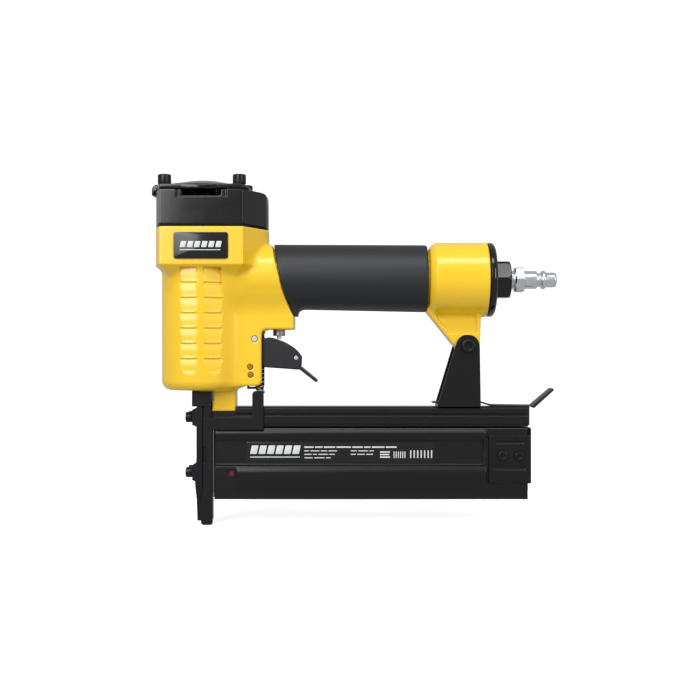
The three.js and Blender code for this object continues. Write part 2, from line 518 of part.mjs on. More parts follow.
function slidingMagazine() {
  const { near, top, bottom, floor, rear } = SLIDER;
  const [nearFloor, far] = [near + RECESS.depth, -near];
  const wall = section([[near + 0.4, bottom], [near + 0.4, 20.4], [near, 21], [near, 36.3],
    [nearFloor, RECESS.bottom], [nearFloor, RECESS.top], [near, 55.2], [near, 60.3],
    [near, top - 0.3, near + 1.8, top - 0.3], [CHANNEL.far, top - 0.3], [CHANNEL.far, floor],
    [WEB.far + GAP, floor], [WEB.far + GAP, top - 0.3], [far, top - 0.3], [far, bottom]],
    [SLIDER.front, rear], 4);
  const end = block([RECESS.rear, rear], [near, nearFloor + 0.6], [35, 56.5]);
  const channel = block([RAIL.front - 1, rear + 1], [CHANNEL.near, CHANNEL.far + 1],
    [CHANNEL.bottom, CHANNEL.top]);
  const sightHole = block([17.5, 21.3], [near - 1, CHANNEL.near + 1], [30.6, 33.6]);
  const screws = REAR_SCREWS.map(([x, z]) => bar('y', 1.7, [near - 1, -2], [x, z], 12));
  let made = join(wall, end).subtract(channel).subtract(sightHole);
  for (const hole of screws) made = made.subtract(hole);
  return made;
}

add('fixed_magazine', fixedMagazine(), blackAnodised);
add('sliding_magazine', slidingMagazine(), blackAnodised);

// The pusher's blade stands behind the nails and its shoe runs in the side channel.
function pusher() {
  const shoe = block([10, 28], [CHANNEL.near + 0.4, CHANNEL.far + 0.4], [24, 35.7]);
  const blade = block([10, 15], [CHANNEL.far + 0.3, WEB.near - 0.4], [18.4, 60]);
  const rodHole = bar('x', PUSH_ROD.r + 0.2, [9, 29], [PUSH_ROD.y, PUSH_ROD.z], 12);
  return shoe.add(blade).subtract(rodHole);
}
add('pusher', pusher(), redPlastic);
add('pusher_rod', bar('x', PUSH_ROD.r, [SLIDER.front + 0.4, PUSH_ROD.rear],
  [PUSH_ROD.y, PUSH_ROD.z], 12), brightSteel);
add('pusher_spring', coil('x', { r: 1.95, wire: 0.25, turns: 24, steps: 8 },
  [28.4, PUSH_ROD.rear - 0.4], [PUSH_ROD.y, PUSH_ROD.z]), brightSteel);
add('magazine_end_block', block([PUSH_ROD.rear + 0.2, 213], [CHANNEL.near + 0.2, CHANNEL.far - 0.3],
  [24, 35.7]), blackAnodised);
add('magazine_label', block([29.5, 154.6], [SLIDER.near + RECESS.depth - 0.45,
  SLIDER.near + RECESS.depth - 0.15], [38.6, 52.6]), labelFilm);

function rearCover() {
  const [outer, inner] = [SLIDER.near - 1.7, SLIDER.near - GAP];
  const nearPlate = block([190, 218.4], [outer, inner], [25.3, 57.1]);
  const endPlate = block([SLIDER.rear + GAP, 218.4], [outer, -SLIDER.near], [25.3, 62]);
  let made = nearPlate.add(endPlate);
  for (const [x, z] of REAR_SCREWS) made = made.subtract(bar('y', 1.7, [-14, 0], [x, z], 12));
  return made;
}
add('rear_cover', rearCover(), blackEnamel);
REAR_SCREWS.forEach(([x, z], i) => {
  const headBase = SLIDER.near - 2;
  add(`rear_cover_screw_${i + 1}`, capScrew('y', { headR: [3.4, 2.9][i], r: 1.6, socketR: 1.3 },
    [headBase - 1.7, headBase, -3], [x, z]), blackOxide);
});

// ---------------------------------------------------------------- rear bracket and latch
function rearBracket() {
  const { near, inner, base, front, rear } = BRACKET;
  const ear = [[front, RAIL.top + GAP], [rear, RAIL.top + GAP], [184.2, STRUT.z - 1],
    [183.6, 123.6, STRUT.x - 0.6, 123.6], [169.6, 123.4, 167.8, STRUT.z - 1]];
  const channel = side(ear, [-near, near], 6)
    .subtract(block([front - 1, rear + 1], [-inner, inner], [base, 130]));
  const boltHole = bar('y', 3, [-near - 1, near + 1], [STRUT.x, STRUT.z], 16);
  const screwHoles = BRACKET_SCREWS.map((x) => bar('z', 2.1, [70, 85], [x, 0], 12));
  return [boltHole, ...screwHoles].reduce((made, hole) => made.subtract(hole), channel);
}
add('rear_bracket', rearBracket(), blackEnamel);
add('bracket_bolt', capScrew('y', { headR: 4.6, r: 2.9, socketR: 2.6 },
  [-BRACKET.near - 3.4, -BRACKET.near - GAP, 15.4], [STRUT.x, STRUT.z]), blackOxide);
add('bracket_nut', bar('y', 5, [BRACKET.near + GAP, 15], [STRUT.x, STRUT.z], 6)
  .subtract(bar('y', 3, [10, 16], [STRUT.x, STRUT.z], 16)), blackOxide);

const leafTop = BRACKET.base + GAP + LATCH.thick;
const leaf = side([[153.4, leafTop - 1.2], [155, leafTop - LATCH.thick], [185, leafTop - LATCH.thick],
  [192.6, LATCH.bottom], [192.6, LATCH.bottom + LATCH.thick], [185.4, leafTop], [154.8, leafTop],
  [153.2, leafTop - 0.4]], [-LATCH.half, LATCH.half]);
add('latch_leaf', BRACKET_SCREWS.reduce((made, x) =>
  made.subtract(bar('z', 2.1, [70, 85], [x, 0], 12)), leaf), blackOxide);
BRACKET_SCREWS.forEach((x, i) => {
  add(`bracket_screw_${i + 1}`, capScrew('z', { headR: 3.6, r: 2, socketR: 1.5 },
    [leafTop + 2.4, leafTop + GAP, RAIL.top + 0.1], [x, 0]), blackOxide);
});

// The latch lever: a flat end on the rail, a hook behind it and a thumb tab bent up.
function latchLever() {
  const { half, pivotX, bottom, thick, tabX, tabZ } = LATCH;
  const flat = side([[pivotX, bottom], [218.4, bottom], [220.8, bottom - 1.4], [tabX + 0.6, tabZ - 1],
    [tabX + 0.2, tabZ + 0.4], [tabX - 0.8, tabZ], [219.6, bottom + thick - 0.4],
    [pivotX, bottom + thick]], [-half, half]);
  const hook = block([RAIL.rear + GAP, RAIL.rear + 1.6], [-4, 4], [63.3, bottom + 0.4]);
  return flat.add(hook);
}
add('latch_lever', latchLever(), blackOxide);

export default gun;
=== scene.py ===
# %% [markdown]
# # A pneumatic brad nailer, dressed around its CAD frame
#
# The CAD model settles every size, place and joint. This script loads it as a fixed frame and gives
# each piece the surface of the real one: enamel on a die casting, moulded rubber, black oxide,
# anodised extrusion and chrome. Cells run from top to bottom, like a notebook.

# %% Load the frame
import math

import bpy
import mathutils
import numpy as np
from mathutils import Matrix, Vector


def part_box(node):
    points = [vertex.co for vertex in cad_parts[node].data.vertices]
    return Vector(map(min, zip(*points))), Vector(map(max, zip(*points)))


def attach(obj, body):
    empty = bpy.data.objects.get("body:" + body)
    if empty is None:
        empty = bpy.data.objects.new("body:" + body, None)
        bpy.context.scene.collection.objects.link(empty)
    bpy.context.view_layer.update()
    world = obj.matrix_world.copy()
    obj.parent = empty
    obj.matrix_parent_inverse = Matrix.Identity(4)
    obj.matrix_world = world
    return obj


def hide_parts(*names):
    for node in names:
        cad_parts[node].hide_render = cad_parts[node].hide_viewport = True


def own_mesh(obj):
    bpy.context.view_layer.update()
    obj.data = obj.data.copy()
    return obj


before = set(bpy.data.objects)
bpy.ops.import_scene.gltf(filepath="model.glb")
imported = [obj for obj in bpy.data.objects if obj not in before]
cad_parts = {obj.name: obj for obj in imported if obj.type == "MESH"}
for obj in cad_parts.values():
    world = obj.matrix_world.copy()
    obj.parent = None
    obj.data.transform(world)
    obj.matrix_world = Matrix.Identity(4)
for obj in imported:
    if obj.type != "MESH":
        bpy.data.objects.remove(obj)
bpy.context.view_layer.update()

MM = 0.001

# %% [markdown]
# ## Finding places
#
# Positions are read from the CAD nodes, so a piece always lands where the model says. `limits`
# gives the lowest and highest corner of a node in millimetres, the unit a tool is drawn in.

# %% Limits of a node in millimetres
def limits(node):
    low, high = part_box(node)
    return np.array(low) / MM, np.array(high) / MM


def middle_of(node):
    low, high = limits(node)
    return (low + high) / 2


print("casting, mm:", *(corner.round(1) for corner in limits("gun_body")))

# %% [markdown]
# ## Camera
#
# A product picture of a tool is taken square on, from far enough away that the near side isn't
# swollen by perspective: about 0.7 m from the middle of the tool, with a slightly long lens.

# %% Camera and view settings
CAMERA_DISTANCE = 700 * MM
FIELD_WIDTH = 469 * MM            # width of the view at the tool's middle plane
SENSOR_WIDTH = 36.0
AIM = (98.5 * MM, 0, 113.5 * MM)

camera_data = bpy.data.cameras.new("camera")
camera_data.sensor_width = SENSOR_WIDTH
camera_data.lens = SENSOR_WIDTH * CAMERA_DISTANCE / FIELD_WIDTH
camera_data.clip_start = 0.01
camera = bpy.data.objects.new("camera", camera_data)
camera.location = (AIM[0], -CAMERA_DISTANCE, AIM[2])
camera.rotation_euler = (math.pi / 2, 0, 0)
bpy.context.scene.collection.objects.link(camera)
bpy.context.scene.camera = camera
bpy.context.scene.view_settings.view_transform = "Standard"
print("lens, mm:", round(camera_data.lens, 1))

# %% [markdown]
# ## Building a material
#
# A colour is written as the hex value that a paint chart or a screen would give, and turned to the
# linear value that the renderer works in. One small function adds a node with its settings and
# links, so that each material reads as a short list.

# %% Colour and node helpers
def linear(hex_colour):
    parts = [int(hex_colour[i:i + 2], 16) / 255 for i in (1, 3, 5)]
    return [c / 12.92 if c <= 0.04045 else ((c + 0.055) / 1.055) ** 2.4 for c in parts] + [1.0]


def add(tree, kind, settings=None, **sockets):
    made = tree.nodes.new(kind)
    for key, value in (settings or {}).items():
        setattr(made, key, value)
    for name, value in sockets.items():
        socket = made.inputs[int(name[1:])] if name[0] == "i" and name[1:].isdigit() \
            else made.inputs[name.replace("_", " ")]
        if isinstance(value, bpy.types.NodeSocket):
            tree.links.new(value, socket)
        else:
            socket.default_value = value
    return made


def new_material(name):
    material = bpy.data.materials.new(name)
    material.use_nodes = True
    material.node_tree.nodes.clear()
    return material, material.node_tree


def close(material, tree, shader):
    add(tree, "ShaderNodeOutputMaterial", Surface=shader.outputs[0])
    MATERIALS[material.name] = material
    return material


def per_metre(size_mm):
    """The noise scale whose features are about this many millimetres across."""
    return 1.0 / (size_mm * MM)


MATERIALS = {}

# %% [markdown]
# ## Enamel on die-cast aluminium
#
# The yellow body is an aluminium die casting with a stoved enamel. Enamel is thick and glossy, and it
# dries with a faint orange peel 1.6 mm across, which makes the edges of reflections waver. A second,
# wider noise lets the film's colour drift by a few percent, as sprayed paint does. The black enamel
# of the cap is glossier than the powder coat of the pressings, whose grain is finer.

# %% Enamel materials
def enamel(name, colour, shade, roughness, coat, peel_mm=1.6, peel_depth_mm=0.006, shine=0.5):
    material, tree = new_material(name)
    place = add(tree, "ShaderNodeTexCoord").outputs["Object"]
    drift = add(tree, "ShaderNodeTexNoise", Vector=place, Scale=per_metre(28), Detail=2.0)
    ramp = add(tree, "ShaderNodeMix", {"data_type": "RGBA"}, i0=drift.outputs["Fac"],
               i6=linear(colour), i7=linear(shade))
    peel = add(tree, "ShaderNodeTexNoise", Vector=place, Scale=per_metre(peel_mm), Detail=1.0)
    bump = add(tree, "ShaderNodeBump", Strength=0.35, Distance=peel_depth_mm * MM,
               Height=peel.outputs["Fac"])
    wipe = add(tree, "ShaderNodeTexNoise", Vector=place, Scale=per_metre(9), Detail=3.0)
    gloss = add(tree, "ShaderNodeMapRange", Value=wipe.outputs["Fac"], i3=roughness - 0.04,
                i4=roughness + 0.05)
    shader = add(tree, "ShaderNodeBsdfPrincipled", Base_Color=ramp.outputs[2],
                 Roughness=gloss.outputs[0], IOR=1.5, Specular_IOR_Level=shine, Coat_Weight=coat,
                 Coat_Roughness=0.12, Normal=bump.outputs[0])
    return close(material, tree, shader)


enamel("yellow_enamel_on_die_cast_aluminium", "#EFC421", "#EBBE1B", 0.27, 0.3)
enamel("black_enamel_on_die_cast_aluminium", "#08080A", "#060607", 0.13, 0.0, shine=0.45)
enamel("black_powder_coat_on_pressed_steel", "#0A0A0B", "#080809", 0.3, 0.0, 0.7, 0.008, 0.35)
enamel("dark_grey_enamel_on_pressed_steel", "#1F1D21", "#1A181C", 0.36, 0.0, 0.9, 0.008, 0.4)
print("enamels:", ", ".join(MATERIALS))

# %% [markdown]
# ## Metals
#
# Black oxide is a thin magnetite film: dark, slightly metallic and a little uneven where the oil
# dried. Anodised aluminium keeps the die lines of the extrusion, so its noise is stretched
# along X. Chrome and nickel plate have a satin gloss. Brass and turned steel carry fine rings from
# the lathe, here drawn as a fine noise because the rings are too small to show.

# %% Metal materials
def metal(name, colour, roughness, metallic=1.0, grain_mm=0.5, depth_mm=0.003, stretch=(1, 1, 1)):
    material, tree = new_material(name)
    place = add(tree, "ShaderNodeTexCoord").outputs["Object"]
    stretched = add(tree, "ShaderNodeVectorMath", {"operation": "MULTIPLY"}, i0=place, i1=stretch)
    grain = add(tree, "ShaderNodeTexNoise", Vector=stretched.outputs[0], Scale=per_metre(grain_mm),
                Detail=2.0)
    cloud = add(tree, "ShaderNodeTexNoise", Vector=place, Scale=per_metre(7), Detail=2.0)
    gloss = add(tree, "ShaderNodeMapRange", Value=cloud.outputs["Fac"], i3=roughness * 0.85,
                i4=roughness * 1.2)
    bump = add(tree, "ShaderNodeBump", Strength=0.3, Distance=depth_mm * MM,
               Height=grain.outputs["Fac"])
    tint = [c * 0.82 for c in linear(colour)[:3]] + [1.0]
    mixed = add(tree, "ShaderNodeMix", {"data_type": "RGBA"}, i0=cloud.outputs["Fac"],
                i6=linear(colour), i7=tint)
    shader = add(tree, "ShaderNodeBsdfPrincipled", Base_Color=mixed.outputs[2], Metallic=metallic,
                 Roughness=gloss.outputs[0], Normal=bump.outputs[0])
    return close(material, tree, shader)


metal("black_oxide_on_steel", "#1A1A1D", 0.3, 0.5)
metal("black_anodised_aluminium_extrusion", "#101012", 0.3, 0.3, 0.45, 0.004, (0.02, 1, 1))
metal("chrome_plate_on_steel", "#E4E6EA", 0.24, 1.0, 0.4, 0.0008)
metal("bright_turned_steel", "#D2D4D8", 0.38)
metal("nickel_plated_brass", "#A9A69F", 0.34)
metal("turned_brass", "#B5904C", 0.3)
metal("machined_aluminium_casting", "#AEB1B4", 0.4)

# %% [markdown]
# ## Rubber, plastic and print
#
# The grip is a matt nitrile sleeve, bluish black, with a fine pebble 0.5 mm across that spreads its
# highlight into a soft grey band along the top. Seals and bumper are plain rubber, and the labels
# are glossy film with a dull white print.

# %% Rubber and plastic materials
def moulded(name, colour, shade, roughness, pebble_mm, depth_mm):
    material, tree = new_material(name)
    place = add(tree, "ShaderNodeTexCoord").outputs["Object"]
    cloud = add(tree, "ShaderNodeTexNoise", Vector=place, Scale=per_metre(12), Detail=4.0)
    mixed = add(tree, "ShaderNodeMix", {"data_type": "RGBA"}, i0=cloud.outputs["Fac"],
                i6=linear(colour), i7=linear(shade))
    pebble = add(tree, "ShaderNodeTexNoise", Vector=place, Scale=per_metre(pebble_mm), Detail=2.0)
    bump = add(tree, "ShaderNodeBump", Strength=0.5, Distance=depth_mm * MM,
               Height=pebble.outputs["Fac"])
    shader = add(tree, "ShaderNodeBsdfPrincipled", Base_Color=mixed.outputs[2], Roughness=roughness,
                 IOR=1.5, Normal=bump.outputs[0])
    return close(material, tree, shader)


moulded("moulded_nitrile_grip_rubber", "#16191D", "#121518", 0.5, 0.5, 0.03)
moulded("nitrile_seal_rubber", "#161616", "#101010", 0.6, 0.6, 0.004)
moulded("urethane_bumper_rubber", "#6B4A2F", "#5A3E28", 0.5, 0.8, 0.004)
moulded("red_acetal_plastic", "#B0203C", "#9C1A34", 0.35, 0.8, 0.002)
moulded("black_printed_film", "#0E0F11", "#0B0C0D", 0.2, 3.0, 0.002)
moulded("white_screen_print", "#D8D9DB", "#CFD0D2", 0.45, 1.0, 0.001)
print("materials:", len(MATERIALS))

# %% [markdown]
# ## Shapes from distance fields
#
# A casting has fillets wherever two walls meet, and they are hard to get from joined meshes. Here
# each cast or moulded piece is described by its signed distance instead: negative inside, positive
# outside, in millimetres. Joining two shapes with a soft minimum gives the fillet for
# free. The surface is then drawn where the distance is zero, by surface nets: one vertex in each
# small cell that the surface crosses.

# %% Distance fields
def space(low, high, step):
    """Coordinates of a grid of points, as three arrays that broadcast over each other."""
    axes = [np.arange(a, b + step, step, dtype=np.float32) for a, b in zip(low, high)]
    return (axes[0][:, None, None], axes[1][None, :, None], axes[2][None, None, :])


def polygon(points, u, v):
    """Distance to a closed outline in the plane of u and v."""
    points = np.array(points, float)
    nearest = None
    inside = np.zeros(np.broadcast(u, v).shape, bool)
    for (ax, ay), (bx, by) in zip(points, np.roll(points, -1, axis=0)):
        ex, ey = bx - ax, by - ay
        if ex == ey == 0:
            continue
        along = np.clip(((u - ax) * ex + (v - ay) * ey) / (ex * ex + ey * ey), 0, 1)
        gap = (u - ax - ex * along) ** 2 + (v - ay - ey * along) ** 2
        nearest = gap if nearest is None else np.minimum(nearest, gap)
        crosses = (ay > v) != (by > v)
        inside ^= crosses & (u < ex * (v - ay) / (ey if ey else 1e-9) + ax)
    return np.where(inside, -np.sqrt(nearest), np.sqrt(nearest))


def slab(w, low, high):
    return np.maximum(low - w, w - high)


def meet(a, b, r=0.0):
    """Where both shapes are, with the edge between them rounded by r."""
    if r == 0:
        return np.maximum(a, b)
    a, b = a + r, b + r
    outside = np.sqrt(np.maximum(a, 0) ** 2 + np.maximum(b, 0) ** 2)
    return outside + np.minimum(np.maximum(a, b), 0) - r


def blend(a, b, k):
    """Both shapes together, with a fillet about k wide."""
    h = np.maximum(k - np.abs(a - b), 0) / k
    return np.minimum(a, b) - h * h * k / 4


def cylinder(u, v, cu, cv, r):
    return np.sqrt((u - cu) ** 2 + (v - cv) ** 2) - r


def bulged(start, end, control, steps=10):
    """Points along a quadratic curve, without its last point."""
    t = np.arange(steps)[:, None] / steps
    a, b, c = (np.array(p, float) for p in (start, control, end))
    return ((1 - t) ** 2 * a + 2 * t * (1 - t) * b + t * t * c).tolist()


def surface_net(field, low, step):
    """Vertices in millimetres and four-sided faces of the surface where the field is zero."""
    inside = field < 0
    corners = [(i, j, k) for i in (0, 1) for j in (0, 1) for k in (0, 1)]
    cells = tuple(n - 1 for n in field.shape)

    def part(array, at):
        return array[tuple(slice(s, s + n) for s, n in zip(at, cells))]

    count = sum(part(inside, c).astype(np.int8) for c in corners)
    active = np.argwhere((count > 0) & (count < 8))
    number = np.full(cells, -1, np.int64)
    number[tuple(active.T)] = np.arange(len(active))
    values = {c: field[tuple((active + c).T)] for c in corners}
    total, hits = np.zeros((len(active), 3)), np.zeros(len(active))
    for c in corners:
        for axis in range(3):
            if c[axis]:
                continue
            d = tuple(1 if k == axis else c[k] for k in range(3))
            f0, f1 = values[c], values[d]
            cut = (f0 < 0) != (f1 < 0)
            t = np.where(cut, f0 / np.where(cut, f0 - f1, 1), 0)
            point = np.array(c, float)[None, :] + t[:, None] * np.eye(3)[axis][None, :]
            total += point * cut[:, None]
            hits += cut
    vertices = (active + total / hits[:, None]) * step + np.array(low)
    faces = []
    for axis in range(3):
        b, c = (axis + 1) % 3, (axis + 2) % 3
        near = [slice(0, n) for n in cells]
        far = list(near)
        far[axis] = slice(1, cells[axis] + 1)
        first, second = inside[tuple(near)], inside[tuple(far)]
        edges = np.argwhere(first != second)
        edges = edges[(edges[:, b] > 0) & (edges[:, c] > 0)]
        steps = np.eye(3, dtype=int)
        around = [edges - steps[b] - steps[c], edges - steps[c], edges, edges - steps[b]]
        quads = np.stack([number[tuple(a.T)] for a in around], axis=1)
        leaving = first[tuple(edges.T)]
        quads = np.where(leaving[:, None], quads, quads[:, ::-1])
        faces.append(quads)
    return vertices, np.concatenate(faces)


# %% [markdown]
# ## From arrays to objects
#
# Every new piece goes through one function. It writes the mesh in metres, shades it smooth, gives it
# its material, hangs it on the empty of the body it rides on and hides the CAD nodes it stands for.

# %% Mesh and piece helpers
def new_mesh(name, vertices, faces):
    mesh = bpy.data.meshes.new(name)
    faces = np.asarray(faces)
    mesh.vertices.add(len(vertices))
    mesh.vertices.foreach_set("co", (np.asarray(vertices, np.float32) * MM).ravel())
    sides = faces.shape[1]
    mesh.loops.add(faces.size)
    mesh.loops.foreach_set("vertex_index", faces.astype(np.int32).ravel())
    mesh.polygons.add(len(faces))
    mesh.polygons.foreach_set("loop_start", np.arange(0, faces.size, sides, dtype=np.int32))
    mesh.update(calc_edges=True)
    mesh.polygons.foreach_set("use_smooth", np.ones(len(faces), bool))
    mesh.validate()
    return mesh


def piece(name, mesh, material, body, replaces=()):
    made = bpy.data.objects.new(name, mesh)
    bpy.context.scene.collection.objects.link(made)
    mesh.materials.clear()
    mesh.materials.append(MATERIALS[material])
    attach(made, body)
    if replaces:
        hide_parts(*([replaces] if isinstance(replaces, str) else replaces))
    return made


def cast(name, field, low, step, material, body, replaces=()):
    vertices, faces = surface_net(field, low, step)
    made = piece(name, new_mesh(name, vertices, faces), material, body, replaces)
    print(f"{name}: {len(vertices)} vertices")
    return made


YELLOW = "yellow_enamel_on_die_cast_aluminium"
BLACK = "black_enamel_on_die_cast_aluminium"

# %% [markdown]
# ## The head and barrel of the casting
#
# The front of the casting holds the cylinder. Its head is a box with a bowed front and a tapered
# rear, wide enough for four screws, and the wall under the head slopes in at 45 degrees so that the
# casting leaves its die. The slope cuts deepest at the corners, which makes the pointed shadows
# there. Below it the barrel is a plain tube, joined to the fork that holds the trigger
# and to the neck of the handle by wide fillets.

# %% Outline values
HEAD_LOW, HEAD_HIGH = limits("cap_gasket")
HEAD_TOP = HEAD_LOW[2] - 0.3
HEAD_HALF, HEAD_SHOULDER = 30.0, 29.7
HEAD_REAR = HEAD_HIGH[0] + 0.6
HEAD_FLOOR = 168.6                          # where the slope under the head begins
CAP_SCREW_HOLE_R = 2.7
BARREL_X, BARREL_R, BARREL_FLOOR = -0.6, 26.5, 87.0
LINER_BORE_R, VALVE_BORE_R, BLADE_BORE_R = 22, 25, 9
BLADE_LOW, BLADE_HIGH = limits("driver_blade")
DRIVE_X = (BLADE_LOW[0] + BLADE_HIGH[0]) / 2
FORK_REAR, FORK_HALF, FORK_FLOOR = 40.3, 13.3, 89.8
VALVE_BLOCK_REAR, VALVE_BLOCK_FLOOR = 61.7, 127.0
HANDLE_Z, CHAMBER_R = 161.0, 15.5
NECK_Z, NECK_R = 162.4, 21.3
LOUVRE_TOP, LOUVRE_PITCH, LOUVRE_ROWS = 167.1, 9.85, 7
LOUVRE_COLUMNS = (-5.75, 9.75)
LOUVRE_HALF = 5.6


def head_plan(inset):
    y, rear = HEAD_HALF - inset, HEAD_REAR - inset
    front = bulged((-24, y), (-24, -y), (-37 + 2 * inset, 0))
    return front + [(-24, -y), (HEAD_SHOULDER - inset * 0.4, -y), (rear - 1, -8), (rear, -5),
                    (rear, 5), (rear - 1, 8), (HEAD_SHOULDER - inset * 0.4, y)]


def cap_screw_holes(x, y):
    """Distance to the four upright holes for the cap screws."""
    centres = [middle_of(f"cap_screw_{number}")[:2] for number in range(1, 5)]
    return np.minimum.reduce([cylinder(x, y, *at, CAP_SCREW_HOLE_R) for at in centres])


def louvres(x, y, z):
    """Distance to the flats that are cut into the barrel, in two columns of seven rows."""
    row = np.clip(np.floor((LOUVRE_TOP - z) / LOUVRE_PITCH), 0, LOUVRE_ROWS - 1)
    down = (LOUVRE_TOP - z) / LOUVRE_PITCH - row           # 0 at the top of a row, 1 below it
    ledge = np.clip((1 - down) / 0.14, 0, 1)
    depth = (0.62 + 0.5 * np.clip(1 - down * 1.6, 0, 1) ** 2 - 0.16 * down) * ledge
    cut = None
    for middle in LOUVRE_COLUMNS:
        angle = math.asin((middle - BARREL_X) / BARREL_R)
        for near in (-1, 1):
            flat = (BARREL_R - depth) - ((x - BARREL_X) * math.sin(angle)
                                         + y * near * math.cos(angle))
            column = np.maximum(flat, np.abs(x - middle) - LOUVRE_HALF)
            column = np.maximum(column, -y * near)
            cut = column if cut is None else np.minimum(cut, column)
    bottom = LOUVRE_TOP - LOUVRE_ROWS * LOUVRE_PITCH
    return np.maximum(cut, slab(z, bottom, LOUVRE_TOP))


print("head top, mm:", HEAD_TOP.round(2), "drive axis x, mm:", DRIVE_X.round(2))

# %% Front casting
def front_casting(step=0.55):
    low = np.array([-33.6, -31.5, 71.4])
    x, y, z = space(low, (64, 31.5, HEAD_TOP + 1.4), step)
    plan = polygon(head_plan(0), x, y)
    under = np.maximum(HEAD_FLOOR - z, 0) * 1.25
    head = meet(meet(plan + under, 150 - z), z - HEAD_TOP, 0.45)
    barrel = meet(cylinder(x, y, BARREL_X, 0, BARREL_R), slab(z, BARREL_FLOOR, HEAD_TOP - 4), 6.3)
    fork_side = polygon([(0, FORK_FLOOR), (37.3, FORK_FLOOR), (39.4, 90.7), (FORK_REAR, 92.8),
                         (FORK_REAR, 124), (41.2, 126.2), (43.3, VALVE_BLOCK_FLOOR),
                         (VALVE_BLOCK_REAR, VALVE_BLOCK_FLOOR), (VALVE_BLOCK_REAR, 135.9),
                         (52, 150), (0, 150)], x, z)
    fork = meet(fork_side, slab(y, -FORK_HALF, FORK_HALF), 1.6)
    neck = meet(cylinder(y, z, 0, NECK_Z, NECK_R), slab(x, 0, 70))
    foot = meet(polygon([(6.9, 72.9), (22.6, 72.9), (22.6, 92), (6.9, 92)], x, z),
                slab(y, -7, 7), 0.9)
    body = blend(barrel, fork, 7)
    body = blend(body, neck, 9)
    body = blend(body, head, 2.5)
    body = blend(body, foot, 2)
    joint_line = ([(-40, 60), (VALVE_BLOCK_REAR, 60), (VALVE_BLOCK_REAR, 135.9)]
                  + bulged((61.5, 136), (53.9, 154), (57, 144), 6)
                  + [(53.9, 154), (46.4, 186), (45.2, 200), (-40, 200)])
    body = meet(body, polygon(joint_line, x, z), 1.0)
    body = np.maximum(body, -louvres(x, y, z))
    bores = [np.maximum(cylinder(x, y, DRIVE_X, 0, VALVE_BORE_R), slab(z, 171, 200)),
             np.maximum(cylinder(x, y, DRIVE_X, 0, LINER_BORE_R), slab(z, 90, 200)),
             np.maximum(cylinder(x, y, DRIVE_X, 0, BLADE_BORE_R), slab(z, 80, 95)),
             np.maximum(cylinder(y, z, 0, HANDLE_Z, CHAMBER_R), slab(x, DRIVE_X, 80)),
             np.maximum(np.maximum(slab(x, 29, 50), slab(y, -10.8, 10.8)), slab(z, 80, 126))]
    valve_x = middle_of("trigger_valve_housing")[0]
    bores.append(np.maximum(cylinder(x, y, valve_x, 0, 4.2), slab(z, 120, 150)))
    for pin, hole_r in (("trigger_pin", 2.1), ("safety_guide_pin_1", 1.9),
                        ("safety_guide_pin_2", 1.9)):
        at = middle_of(pin)
        bores.append(cylinder(x, z, at[0], at[2], hole_r))
    bores.append(np.maximum(cap_screw_holes(x, y), slab(z, 173, 200)))
    for bore in bores:
        body = np.maximum(body, -bore)
    top = limits("safety_spring")[1][2] + 0.3
    seat = np.maximum(np.maximum(slab(x, 28, FORK_REAR), slab(y, -7.1, -1.6)),
                      slab(z, top, top + 2.5))
    return cast("body_casting_front", np.minimum(body, seat), low, step, YELLOW, "gun",
                "gun_body")


front_casting()

# %% [markdown]
# ## The flared end of the handle
#
# Behind the grip the casting opens into a flare that holds the end cap, and a hanging lug joins it to
# the magazine bracket. The lug is hollowed on both sides to a wall, which leaves a raised rim and a
# round boss. The flare's edge is rounded, because a cast edge always is.

# %% Rear casting
STRUT_X, _, STRUT_Z = middle_of("bracket_bolt")
STRUT_HALF, STRUT_HOLE_R, POCKET_DEPTH = 8.9, 2.7, 2.4
FLARE_Z, FLARE_R = 160.4, 24.8


def rear_casting(step=0.6):
    low = np.array([148.5, -27.0, 103.0])
    x, y, z = space(low, (192.5, 27, 187), step)
    turned_profile = polygon([(140, 0), (140, 21.4), (151.4, 21.6), (154.8, FLARE_R),
                              (190, FLARE_R), (190, 0)], x, np.sqrt(y ** 2 + (z - FLARE_Z) ** 2))
    flare = meet(turned_profile, slab(x, 151, 189.9), 1.1)
    lug_side = polygon([(149.6, 150), (149.6, 138.6), (166.4, 117.6), (168.1, STRUT_Z),
                        (STRUT_X - 4, STRUT_Z - 7.4), (STRUT_X, STRUT_Z - 8.7),
                        (STRUT_X + 4, STRUT_Z - 7.4), (184.7, STRUT_Z), (185.4, 139), (188.5, 150)],
                       x, z)
    lug = meet(lug_side, slab(y, -STRUT_HALF, STRUT_HALF), 1.0)
    depth = np.maximum(STRUT_HALF - POCKET_DEPTH - np.abs(y), slab(z, 124.5, 160))
    pocket = meet(lug_side + 2.6, depth, 1.6)
    body = blend(flare, np.maximum(lug, -pocket), 3)
    body = np.maximum(body, -cylinder(x, z, STRUT_X, STRUT_Z, STRUT_HOLE_R))
    chamber = np.maximum(cylinder(y, z, 0, FLARE_Z, CHAMBER_R), slab(x, 100, 200))
    return cast("body_casting_rear", np.maximum(body, -chamber), low, step, YELLOW, "gun",
                "gun_body")


rear_casting()

# %% [markdown]
# ## Cylinder cap
#
# The cap is a second casting in black enamel with the same plan as the head. Its top edge rolls
# over at the rear. A wide window in the near wall lets the exhaust out under the cover. The
# window's floor has a second, deeper step, so light reaches the duct behind it.

# %% Cylinder cap
CAP_LOW, CAP_HIGH = limits("cylinder_cap")


